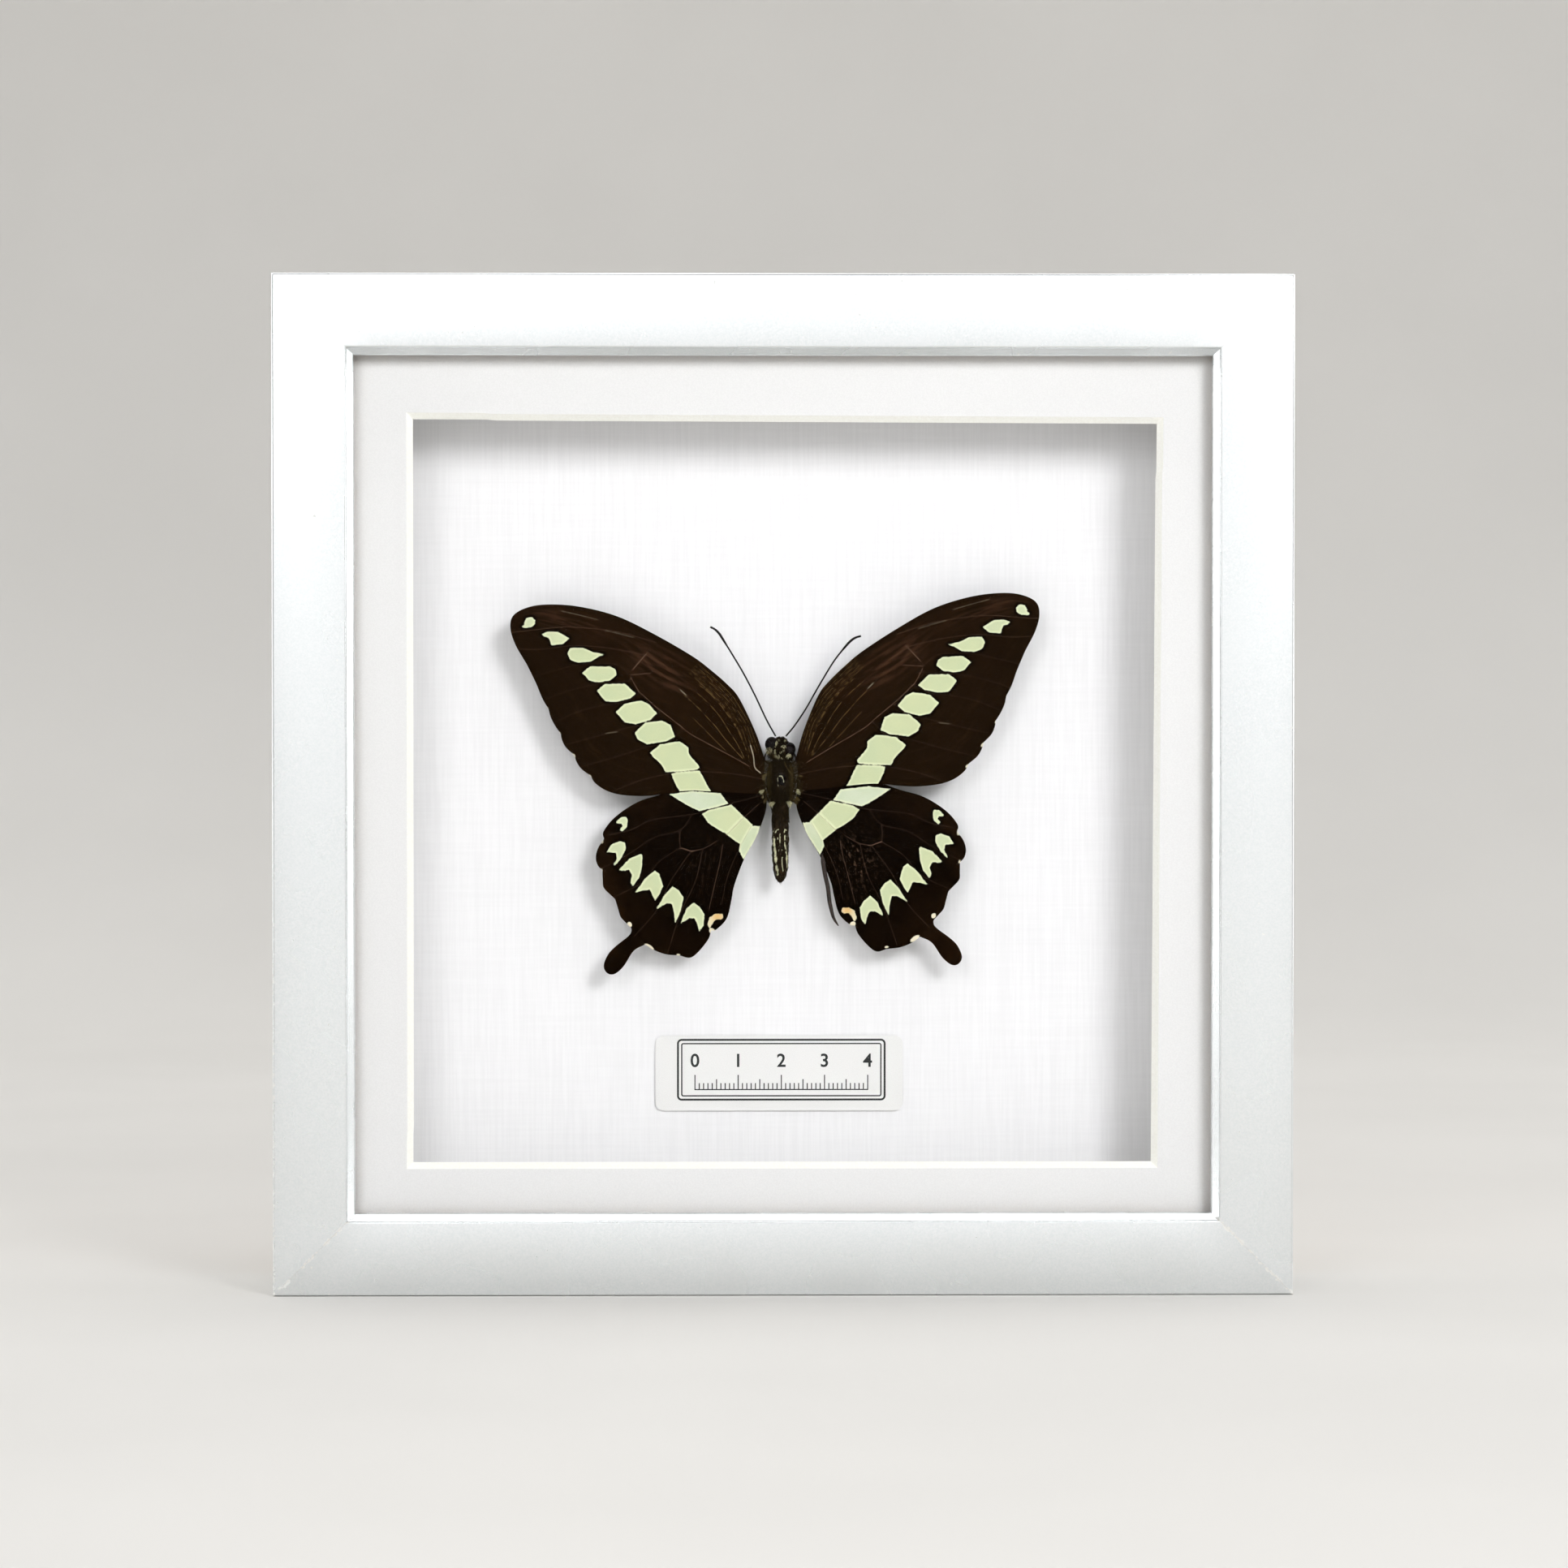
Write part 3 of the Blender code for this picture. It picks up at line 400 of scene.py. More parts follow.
def noise(tree, place, per_mm, detail=3.0, seed=0.0, roughness=0.55):
    """Four-dimensional noise of mean one half, with per_mm features in a millimetre."""
    inputs = {"Vector": place, "W": seed, "Scale": per_mm, "Detail": detail, "Roughness": roughness}
    return node(tree, "TexNoise", inputs, noise_dimensions="4D").outputs["Fac"]


def ramp(tree, value, low, high, out_low=0.0, out_high=1.0):
    """A smooth step from out_low to out_high as value goes from low to high."""
    inputs = {"Value": value, "From Min": low, "From Max": high, "To Min": out_low, "To Max": out_high}
    return node(tree, "MapRange", inputs, interpolation_type="SMOOTHSTEP").outputs[0]


def maths(tree, operation, a, b=0.0, c=0.0):
    return node(tree, "Math", {0: a, 1: b, 2: c}, operation=operation).outputs[0]


def blend(tree, share, first, second):
    """A colour share of the way from first to second, each a hex colour or an output."""
    ends = [linear(end) if isinstance(end, str) else end for end in (first, second)]
    made = node(tree, "Mix", {0: share, 6: ends[0], 7: ends[1]}, data_type="RGBA")
    return made.outputs[2]


def field(tree, name):
    return node(tree, "Attribute", attribute_name=name).outputs["Fac"]


def bump(tree, shader, height, depth_mm, strength=1.0):
    """Tilts the shader's normal as a relief of the given depth would."""
    made = node(tree, "Bump", {"Height": height, "Distance": depth_mm * MM, "Strength": strength})
    tree.links.new(made.outputs[0], shader.inputs["Normal"])


def mottle(tree, shader, pattern, first, second, low=0.3, high=0.7):
    """Colours a shader from first to second as a pattern rises from low to high."""
    tree.links.new(blend(tree, ramp(tree, pattern, low, high), first, second), shader.inputs["Base Color"])


def silver_foil():
    """Silver leaf foil, hot-pressed on a wooden moulding: satin, finely grained, chipped to its white
    ground beside the lower mitres and along the left edge."""
    made, tree, shader = new_material("silver_leaf_foil", "eff2f3", 0.28, Metallic=1.0)
    place = place_in_mm(tree)
    grain = noise(tree, place, 2.6, detail=4.0)
    cloud = noise(tree, place, 0.05, detail=2.0, seed=3.0)
    tone = blend(tree, ramp(tree, grain, 0.3, 0.7), "e6eaeb", "eef0f1")
    axes = node(tree, "SeparateXYZ", {0: place}).outputs
    x, z = axes[0], axes[2]
    from_left = maths(tree, "ADD", x, FRAME_HALF)
    from_right = maths(tree, "SUBTRACT", FRAME_HALF, x)
    chips = None
    for edge, seed in ((from_left, 5.0), (from_right, 9.0)):
        mitre = maths(tree, "ABSOLUTE", maths(tree, "SUBTRACT", edge, z))
        low = ramp(tree, z, 14.0, 24.0, 1.0, 0.0)
        near = maths(tree, "MULTIPLY", ramp(tree, mitre, 0.1, 1.6, 1.0, 0.0), low)
        speck = noise(tree, place, 0.6, detail=5.0, seed=seed, roughness=0.7)
        chip = ramp(tree, maths(tree, "MULTIPLY_ADD", near, 0.2, speck), 0.68, 0.7)
        chips = chip if chips is None else maths(tree, "MAXIMUM", chips, chip)
    low = ramp(tree, z, 60.0, 110.0, 1.0, 0.0)
    rim = maths(tree, "MULTIPLY", ramp(tree, from_left, 0.15, 1.0, 1.0, 0.0), low)
    flake = noise(tree, place, 0.8, detail=5.0, seed=12.0, roughness=0.7)
    rim_chip = ramp(tree, maths(tree, "MULTIPLY_ADD", rim, 0.17, flake), 0.66, 0.69)
    chips = maths(tree, "MAXIMUM", chips, rim_chip)
    tree.links.new(blend(tree, chips, tone, "f7f7f4"), shader.inputs["Base Color"])
    tree.links.new(maths(tree, "SUBTRACT", 1.0, chips), shader.inputs["Metallic"])
    rough = ramp(tree, cloud, 0.3, 0.7, 0.25, 0.3)
    rough = maths(tree, "MULTIPLY_ADD", chips, 0.4, rough)
    tree.links.new(rough, shader.inputs["Roughness"])
    height = maths(tree, "SUBTRACT", grain, chips)
    bump(tree, shader, height, 0.012, 0.5)
    return made


def raw_moulding(name, stretch):
    """Bare softwood at the moulding's back and in its rebate: pale, dry, with fine grain along the rail,
    the way in which stretch draws it out."""
    made, tree, shader = new_material(name, "c9a878", 0.75)
    place = place_in_mm(tree, stretch)
    rings = noise(tree, place, 0.9, detail=4.0)
    mottle(tree, shader, rings, "b48f5e", "d9bd90")
    bump(tree, shader, rings, 0.05, 0.6)
    return made


def mount_face():
    """White face paper of a mount board: dead matt, with a faint tooth."""
    made, tree, shader = new_material("mount_board_face", "f3f3f3", 0.9)
    tooth = noise(tree, place_in_mm(tree), 3.0)
    mottle(tree, shader, tooth, "e0e0e0", "e5e5e5")
    bump(tree, shader, tooth, 0.01, 0.4)
    return made


def mount_core():
    """Cream core of the mount board, which the slanting cut lays bare: soft and slightly fibrous."""
    made, tree, shader = new_material("mount_board_core", "f8f7ef", 0.95)
    fibre = noise(tree, place_in_mm(tree), 2.2, seed=4.0)
    mottle(tree, shader, fibre, "f4f3ec", "f9f9f3")
    bump(tree, shader, fibre, 0.03, 0.6)
    return made


def linen_paper():
    """White paper embossed like linen: fine upright threads 0.7 mm apart, and fainter ones across."""
    made, tree, shader = new_material("linen_embossed_paper", "f2f2f4", 0.9)
    upright = noise(tree, place_in_mm(tree, (1.0, 1.0, 0.035)), 1.9, detail=2.0)
    across = noise(tree, place_in_mm(tree, (0.035, 1.0, 1.0)), 1.7, detail=2.0, seed=2.0)
    threads = maths(tree, "MULTIPLY_ADD", across, 0.45, upright)
    mottle(tree, shader, threads, "eeeef0", "f3f3f5", 0.5, 0.95)
    bump(tree, shader, threads, 0.04, 0.35)
    return made


def clear_glass():
    """Float glass: clear, and so smooth that it only shows by a faint mirror image. It casts no shadow
    and bends light little, because lamps have to reach the box through it."""
    return new_material("float_glass", "ffffff", 0.0, Transmission_Weight=1.0, IOR=1.04)[0]


def label_paper():
    """Uncoated label paper: white, matt, with a faint fibre."""
    made, tree, shader = new_material("label_paper", "f6f6f6", 0.85)
    fibre = noise(tree, place_in_mm(tree), 4.0)
    mottle(tree, shader, fibre, "e8e8e7", "ededec")
    bump(tree, shader, fibre, 0.008, 0.4)
    return made


def printing_ink():
    """Laser-printed toner: near black, slightly uneven in density."""
    made, tree, shader = new_material("toner_black", "15201f", 0.55)
    patch = noise(tree, place_in_mm(tree), 2.0)
    mottle(tree, shader, patch, "060a0a", "161c1c")
    return made


def foam_core():
    """Polystyrene foam board: white and matt, with a cut edge of fine beads."""
    made, tree, shader = new_material("foam_board", "ecebe5", 0.85)
    place = place_in_mm(tree)
    beads = node(tree, "TexVoronoi", {"Vector": place, "Scale": 1.6}).outputs["Distance"]
    mottle(tree, shader, beads, "f0efea", "e2e0d8", 0.0, 0.6)
    bump(tree, shader, beads, 0.06, 0.5)
    return made


def hardboard():
    """Brown fibreboard pressed from wood fibre: matt, flecked with short dark and pale fibres."""
    made, tree, shader = new_material("pressed_fibreboard", "8a6a48", 0.8)
    flecks = noise(tree, place_in_mm(tree, (1.0, 1.0, 0.35)), 1.4, detail=5.0, roughness=0.7)
    patches = noise(tree, place_in_mm(tree), 0.05, seed=7.0)
    base = blend(tree, ramp(tree, patches, 0.3, 0.7), "83644a", "907051")
    tone = blend(tree, ramp(tree, flecks, 0.56, 0.72), base, "b3946b")
    tone = blend(tree, ramp(tree, flecks, 0.30, 0.42, 1.0, 0.0), tone, "5c4229")
    tree.links.new(tone, shader.inputs["Base Color"])
    bump(tree, shader, flecks, 0.05, 0.6)
    return made


def zinc_steel():
    """Zinc-plated spring steel: pale grey metal with short rolling marks along the strip."""
    made, tree, shader = new_material("zinc_plated_steel", "aeb2b4", 0.36, Metallic=1.0)
    marks = noise(tree, place_in_mm(tree, (0.2, 1.0, 3.0)), 1.5)
    mottle(tree, shader, marks, "9fa4a7", "bcc0c1")
    tree.links.new(ramp(tree, marks, 0.3, 0.7, 0.3, 0.46), shader.inputs["Roughness"])
    return made


def brass_plate():
    """Brass-plated steel: warm yellow metal, clouded where it was handled."""
    made, tree, shader = new_material("brass_plated_steel", "c2a159", 0.34, Metallic=1.0)
    cloud = noise(tree, place_in_mm(tree), 0.4)
    mottle(tree, shader, cloud, "b5964f", "c8aa61")
    tree.links.new(ramp(tree, cloud, 0.3, 0.7, 0.28, 0.45), shader.inputs["Roughness"])
    return made


def drawn_line(tree, name, half_width):
    """How far a point lies on the nearest line of a group: 1 on it, 0 beside it. Each group has a signed
    distance, its size and a strength. The size keeps out the places where the sign only changes sides."""
    reach = maths(tree, "ABSOLUTE", field(tree, name))
    near = ramp(tree, field(tree, name + "_reach"), 0.3, 0.5, 1.0, 0.0)
    line = maths(tree, "MULTIPLY", ramp(tree, reach, 0.4 * half_width, 1.4 * half_width, 1.0, 0.0), near)
    return maths(tree, "MULTIPLY", line, field(tree, name + "_strength"))


def wing_scales(name, dark, warm, worn_tone, worn_from, fibre_length, grain):
    """Wing membrane covered with overlapping scales: velvety near-black brown, pale green bands with a
    scaly edge, a creamier rim and a black border, thin bare veins, broken lines of tan scales, and
    patches where the scales are rubbed off."""
    made, tree, shader = new_material(name, dark, 0.7, Specular_IOR_Level=0.015)
    place = place_in_mm(tree)
    fine = noise(tree, place, 3.2, detail=4.0, roughness=0.65)
    soft = noise(tree, place, 0.16, detail=3.0, seed=4.0)
    broken = noise(tree, place, 0.9, detail=2.0, seed=11.0)
    along = maths(tree, "DIVIDE", field(tree, "along"), fibre_length)
    lane = node(tree, "CombineXYZ", {0: field(tree, "across"), 1: along}).outputs[0]
    fibre = noise(tree, lane, 1.3, detail=4.0, seed=6.0, roughness=0.65)
    warmth = maths(tree, "MULTIPLY", field(tree, "warmth"), ramp(tree, soft, 0.2, 0.75))
    ground = blend(tree, warmth, dark, warm)
    ground = blend(tree, ramp(tree, fine, 0.45, 0.8, 0.0, grain), ground, "5a4024")
    ground = blend(tree, ramp(tree, fibre, 0.5, 0.75, 0.0, grain), ground, "6b4c28")
    worn = maths(tree, "MULTIPLY", field(tree, "worn"), ramp(tree, fibre, *worn_from))
    ground = blend(tree, worn, ground, worn_tone)
    dashes = ramp(tree, broken, 0.42, 0.54)
    streak = maths(tree, "MULTIPLY", drawn_line(tree, "streak", 0.08), dashes)
    ground = blend(tree, streak, ground, "8d7449")
    speck = ramp(tree, noise(tree, place, 1.3, detail=2.0, seed=21.0), 0.79, 0.82)
    ground = blend(tree, maths(tree, "MULTIPLY", speck, 0.3), ground, "a08a72")
    ragged = maths(tree, "MULTIPLY_ADD", fine, 0.4, -0.2)
    ragged = maths(tree, "ADD", maths(tree, "MULTIPLY_ADD", fibre, 0.5, -0.25), ragged)
    edge = maths(tree, "ADD", field(tree, "pale"), ragged)
    ground = blend(tree, ramp(tree, edge, 0.3, 0.9, 0.85, 0.0), ground, "060301")
    inside = ramp(tree, edge, -0.08, 0.08, 1.0, 0.0)
    tint = field(tree, "tint")
    pale = blend(tree, ramp(tree, tint, 0.0, 1.0), "cad1a6", "d0d8c1")
    pale = blend(tree, ramp(tree, soft, 0.25, 0.75, 0.0, 0.55), pale, "bccaa4")
    pale = blend(tree, ramp(tree, edge, -0.6, -0.15, 0.0, 0.6), pale, "e2e7c3")
    orange = maths(tree, "MULTIPLY", ramp(tree, tint, 1.5, 1.9), field(tree, "orange"))
    pale = blend(tree, ramp(tree, tint, 1.2, 1.8), pale, "dfd6b4")
    pale = blend(tree, orange, pale, "dcb677")
    pale = blend(tree, ramp(tree, fine, 0.5, 0.8, 0.0, 0.3), pale, "a9b689")
    colour = blend(tree, inside, ground, pale)
    nick = ramp(tree, maths(tree, "MULTIPLY_ADD", ragged, 0.5, field(tree, "nick")), -0.08, 0.1, 1.0, 0.0)
    colour = blend(tree, nick, colour, "e6ddc2")
    thin = ramp(tree, broken, 0.3, 0.6, 0.45, 1.0)
    vein = maths(tree, "MULTIPLY", drawn_line(tree, "vein", 0.1), thin)
    colour = blend(tree, vein, colour, blend(tree, inside, "7d6455", "8f8658"))
    colour = blend(tree, maths(tree, "MULTIPLY", drawn_line(tree, "seam", 0.12), thin), colour, "d0c6ae")
    tree.links.new(colour, shader.inputs["Base Color"])
    rows = noise(tree, place, 4.5, detail=3.0, seed=30.0)
    bump(tree, shader, rows, 0.05, 0.5)
    return made


def insect_hair():
    """Dried body hair: thin, slightly glossy hairs from black-brown through olive to cream."""
    made, tree, shader = new_material("insect_hair", "1b130d", 0.75, Specular_IOR_Level=0.04)
    tone = field(tree, "tone")
    dark = blend(tree, ramp(tree, tone, 0.0, 0.5), "170e05", "54472a")
    mottle(tree, shader, tone, dark, "d9d5ac", 0.5, 1.0)
    return made


def insect_skin(name, shine):
    """Horny skin under the hair: black-brown, glossy where it is bare. Cream scales are left along the folds
    of the abdomen in broken streaks. On the rim of the thorax plate the cream is a painted highlight."""
    made, tree, shader = new_material(name, "140d08", 0.55, Specular_IOR_Level=shine)
    place = place_in_mm(tree)
    pits = noise(tree, place, 3.0, detail=4.0)
    folds = noise(tree, place_in_mm(tree, (1.0, 1.0, 0.4)), 1.8, detail=4.0, seed=5.0, roughness=0.7)
    bare = field(tree, "bare")
    dark = blend(tree, ramp(tree, pits, 0.35, 0.75), "0e0803", "2c2010")
    dark = blend(tree, ramp(tree, bare, 0.6, 0.9), dark, "050303")
    cream = maths(tree, "MULTIPLY_ADD", maths(tree, "SUBTRACT", folds, 0.52), 3.3, field(tree, "cream"))
    mottle(tree, shader, cream, dark, "c6c5a2", 0.55, 0.8)
    tree.links.new(ramp(tree, bare, 0.2, 0.8, 0.65, 0.16), shader.inputs["Roughness"])
    bump(tree, shader, pits, 0.12, 0.6)
    return made


def compound_eye():
    """Dried compound eye: black and glassy with a faint brown cast, finely faceted."""
    made, tree, shader = new_material("compound_eye", "0a0706", 0.2, Specular_IOR_Level=0.12)
    facets = node(tree, "TexVoronoi", {"Vector": place_in_mm(tree), "Scale": 9.0}).outputs["Distance"]
    cast = noise(tree, place_in_mm(tree), 0.6, seed=2.0)
    mottle(tree, shader, cast, "070403", "150d0b", 0.4, 0.7)
    bump(tree, shader, facets, 0.01, 0.3)
    return made


def split_membrane():
    """Wing skin that has lost its scales and dried curled: dark brown, with a low gloss."""
    made, tree, shader = new_material("split_membrane", "1a100a", 0.5, Specular_IOR_Level=0.3)
    crease = noise(tree, place_in_mm(tree, (1.0, 1.0, 0.2)), 2.5)
    mottle(tree, shader, crease, "140b06", "33241a", 0.35, 0.7)
    bump(tree, shader, crease, 0.08, 0.6)
    return made


def antenna_horn():
    """Horn of the feelers: near black with a low gloss, ringed at each joint."""
    made, tree, shader = new_material("antenna_horn", "0c0a09", 0.42, Specular_IOR_Level=0.15)
    cloud = noise(tree, place_in_mm(tree), 3.0)
    mottle(tree, shader, cloud, "080706", "1a1512")
    return made


def studio_paper():
    """Seamless background paper: pale, matt, nearly even."""
    made, tree, shader = new_material("seamless_paper", "dddbd7", 0.9)
    drift = noise(tree, place_in_mm(tree), 0.004)
    mottle(tree, shader, drift, "eeece8", "f3f1ed")
    return made


def curve_through(points, steps):
    """Catmull-Rom curve without its last point: between two points it's the cubic whose ends keep half
    the step between their neighbours as slope."""
    p = np.asarray(points, float)
    line = np.vstack([2 * p[:1] - p[1:2], p, 2 * p[-1:] - p[-2:-1]])
    a, b, c, d = (part[:, None] for part in (line[:-3], line[1:-2], line[2:-1], line[3:]))
    t = (np.arange(steps) / steps)[None, :, None]
    made = 2 * b + (c - a) * t + (2 * a - 5 * b + 4 * c - d) * t ** 2 + (3 * b - a - 3 * c + d) * t ** 3
    return 0.5 * made.reshape(-1, p.shape[1])


def full_curve(points, steps):
    return np.vstack([curve_through(points, steps), [points[-1]]])


def lengths_along(line):
    """Length from a line's first point to each of its points."""
    return np.concatenate([[0.0], np.cumsum(np.linalg.norm(np.diff(line, axis=0), axis=1))])


def points_at(line, stations):
    """Points of a line at the given lengths from its start."""
    at = lengths_along(line)
    return np.stack([np.interp(stations, at, line[:, axis]) for axis in range(line.shape[1])], 1)


def nearest(points, line):
    """For each point, the distance to the nearest step of a line, signed by its side: positive left."""
    a, b = line[:-1], line[1:]
    step = b - a
    rel = points[:, None] - a
    along = np.clip((rel * step).sum(-1) / np.maximum((step ** 2).sum(-1), 1e-12), 0, 1)
    gap = rel - along[..., None] * step
    reach = np.linalg.norm(gap, axis=-1)
    best = reach.argmin(1)
    rows = np.arange(len(points))
    side = np.sign(step[best, 0] * rel[rows, best, 1] - step[best, 1] * rel[rows, best, 0])
    return reach[rows, best] * np.where(side == 0, 1, side)


def depth_inside(points, loop):
    """Signed distance to a closed loop, negative inside it. A point is inside where a ray from it along
    the first axis crosses the loop an odd number of times."""
    line = np.vstack([loop, loop[:1]])
    reach = np.abs(nearest(points, line))
    a, b = line[:-1], line[1:]
    y = points[:, 1:2]
    spans = (a[:, 1] > y) != (b[:, 1] > y)
    rise = np.where(b[:, 1] == a[:, 1], 1.0, b[:, 1] - a[:, 1])
    crossing = a[:, 0] + (y - a[:, 1]) * (b[:, 0] - a[:, 0]) / rise
    odd = (spans & (points[:, :1] < crossing)).sum(1) % 2 == 1
    return np.where(odd, -reach, reach)


def grid_quads(rows, columns, ring=False):
    """Quads between neighbouring points of a grid numbered row by row; a ring joins its last column to
    its first."""
    i = np.arange(rows - 1)[:, None]
    j = np.arange(columns if ring else columns - 1)[None, :]
    k = (j + 1) % columns
    here, above = i * columns, (i + 1) * columns
    return np.stack([here + j, here + k, above + k, above + j], -1).reshape(-1, 4)


def ring_of_loops(loops, count):
    """Quads of a body made of loops of points, each joined to the next, and the last to the first."""
    return grid_quads(loops + 1, count, ring=True) % (loops * count)


def enclosed_volume(points, faces):
    """Sum of the tetrahedra between the origin and each face's fan of triangles."""
    total = 0.0
    for block in faces:
        for second in range(1, block.shape[1] - 1):
            a, b, c = (points[block[:, i]] for i in (0, second, second + 1))
            total += (a * np.cross(b, c)).sum() / 6
    return total


def add_piece(name, points, faces, finishes, replaces=(), fields=None, finish_of=None, crease=35):
    """A mesh object at the origin from points in mm and blocks of faces, turned to face outwards."""
    points = np.asarray(points, float)
    if enclosed_volume(points, faces) < 0:
        faces = [block[:, ::-1] for block in faces]
    mesh = bpy.data.meshes.new(name)
    corners = np.concatenate([block.ravel() for block in faces])
    counts = np.concatenate([np.full(len(block), block.shape[1]) for block in faces])
    mesh.vertices.add(len(points))
    mesh.vertices.foreach_set("co", (points * MM).ravel())
    mesh.loops.add(len(corners))
    mesh.loops.foreach_set("vertex_index", corners)
    mesh.polygons.add(len(counts))
    mesh.polygons.foreach_set("loop_start", np.concatenate([[0], np.cumsum(counts)[:-1]]))
    for finish in finishes:
        mesh.materials.append(finish)
    if finish_of is not None:
        mesh.polygons.foreach_set("material_index", finish_of)
    mesh.update(calc_edges=True)
    for field_name, values in (fields or {}).items():
        store = mesh.attributes.new(field_name, "FLOAT", "POINT")
        store.data.foreach_set("value", np.asarray(values, np.float32))
    mesh.shade_smooth()
    mesh.set_sharp_from_angle(angle=math.radians(crease))
    made = bpy.data.objects.new(name, mesh)
    return join_scene(made, replaces)


def join_scene(made, replaces=()):
    """Links an object, hangs it on the root, and hides the CAD parts that it stands for."""
    bpy.context.scene.collection.objects.link(made)
    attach(made, "root")
    if replaces:
        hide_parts(*replaces)
    return made


def rounded_outline(corners, steps):
    """A closed outline whose corners, (x, y, radius), are rounded by a parabola that starts and ends
    at the radius from the corner."""
    corner = np.array([c[:2] for c in corners], float)
    radius = np.array([c[2] for c in corners], float)[:, None]
    ahead = np.roll(corner, -1, 0) - corner
    ahead /= np.linalg.norm(ahead, axis=1)[:, None]
    behind = -np.roll(ahead, 1, 0)
    t = np.linspace(0, 1, steps)[None, :, None]
    start, end = corner + behind * radius, corner + ahead * radius
    made = (1 - t) ** 2 * start[:, None] + 2 * t * (1 - t) * corner[:, None] + t ** 2 * end[:, None]
    return made.reshape(-1, 2)


def rounded_rectangle(width, height, radius, steps=8):
    """A rectangle about the origin whose corners are quarter circles."""
    angle = (np.arange(4)[:, None] + np.linspace(0, 1, steps)) * math.pi / 2
    x = np.array([1, -1, -1, 1])[:, None] * (width / 2 - radius) + radius * np.cos(angle)
    y = np.array([1, 1, -1, -1])[:, None] * (height / 2 - radius) + radius * np.sin(angle)
    return np.stack([x.ravel(), y.ravel()], 1)


def add_rails(foil, level_core, upright_core):
    """Each rail is its section carried from mitre to mitre: a point further in ends sooner by as much."""
    back = FRAME_DEPTH
    section = rounded_outline([
        (0, back, 0.4), (0, 0, 0.55), (FACE_WIDTH, 0, 0.4), (FACE_WIDTH, LIP_STEP, 0.12),
        (SIGHT_WIDTH, LIP_DEPTH, 0.35), (SIGHT_WIDTH, SHOULDER_DEPTH, 0.15),
        (REBATE_WALL, SHOULDER_DEPTH, 0.05), (REBATE_WALL, back, 0.3)], SECTION_STEPS)
    stations = np.linspace(-1, 1, RAIL_STATIONS)[:, None]
    reach = FRAME_HALF - section[:, 0] - MITRE_GAP
    along = stations * reach
    inward = np.broadcast_to(section[:, 0], along.shape)
    depth = np.broadcast_to(section[:, 1], along.shape) + FRAME_FRONT
    count = len(section)
    quads = grid_quads(len(stations), count, ring=True)
    caps = np.stack([np.arange(count), np.arange(count)[::-1] + (len(stations) - 1) * count])
    hidden = np.arange(count) >= FOILED_CORNERS * SECTION_STEPS
    finish_of = np.concatenate([np.tile(hidden, len(stations) - 1), [1, 1]]).astype(np.int32)
    for turn, side in enumerate(("bottom", "left", "top", "right")):
        angle = turn * math.pi / 2
        low = inward - FRAME_HALF
        x = along * math.cos(angle) + low * math.sin(angle)
        z = -along * math.sin(angle) + low * math.cos(angle) + FRAME_HALF
        points = np.stack([x, depth, z], -1).reshape(-1, 3)
        core = upright_core if turn % 2 else level_core
        add_piece(f"moulding_{side}", points, [quads, caps], [foil, core],
                  [f"rail_{side}"], finish_of=finish_of)


def square_loop(half, per_side=80):
    """Points round a square about the origin, and each point's outward side."""
    t = np.arange(per_side) / per_side * 2 - 1
    one = np.ones_like(t)
    x = np.concatenate([t, one, -t, -one])
    y = np.concatenate([-one, t, one, -t])
    return half * np.stack([x, y], 1)


def add_mount_board(face, core):
    """Four square loops joined in a ring: outer edge and window at the front, and again at the back.
    The window's right side leans and its top falls in proportion to the place along them, and its edge
    steps outwards by the knife's error over part of three sides."""
    low, high = node_box("mount_board")
    outer = (high[0] - low[0]) / 2
    thickness = high[1] - low[1]
    centre = np.array(WINDOW_CENTRE)
    loops = []
    for half, depth, shift in ((outer, 0, 0), (WINDOW_HALF + thickness, 0, 1), (WINDOW_HALF, thickness, 1),
                               (outer, thickness, 0)):
        loop = square_loop(half)
        if shift:
            unit = square_loop(1.0)
            top = (unit[:, 1] > 0.999) & (unit[:, 0] < STEP_FROM["top"])
            right = (unit[:, 0] > 0.999) & (unit[:, 1] > STEP_FROM["right"])
            left = (unit[:, 0] < -0.999) & (unit[:, 1] < STEP_FROM["left"])
            step = WINDOW_STEP * np.stack([right - LEFT_STEP * left, 1.0 * top], 1)
            lean = np.stack([RIGHT_LEANS * unit[:, 1] * (1 + unit[:, 0]) / 2,
                             -TOP_FALLS * unit[:, 0] * (1 + unit[:, 1]) / 2], 1)
            loop = loop + step + lean + centre
        loops.append(np.stack([loop[:, 0], np.full(len(loop), low[1] + depth), loop[:, 1] + FRAME_HALF], 1))
    count = len(loops[0])
    finish_of = np.repeat([0, 1, 0, 1], count).astype(np.int32)
    add_piece("mount_board_cut", np.concatenate(loops), [ring_of_loops(4, count)], [face, core],
              ["mount_board"], finish_of=finish_of, crease=20)


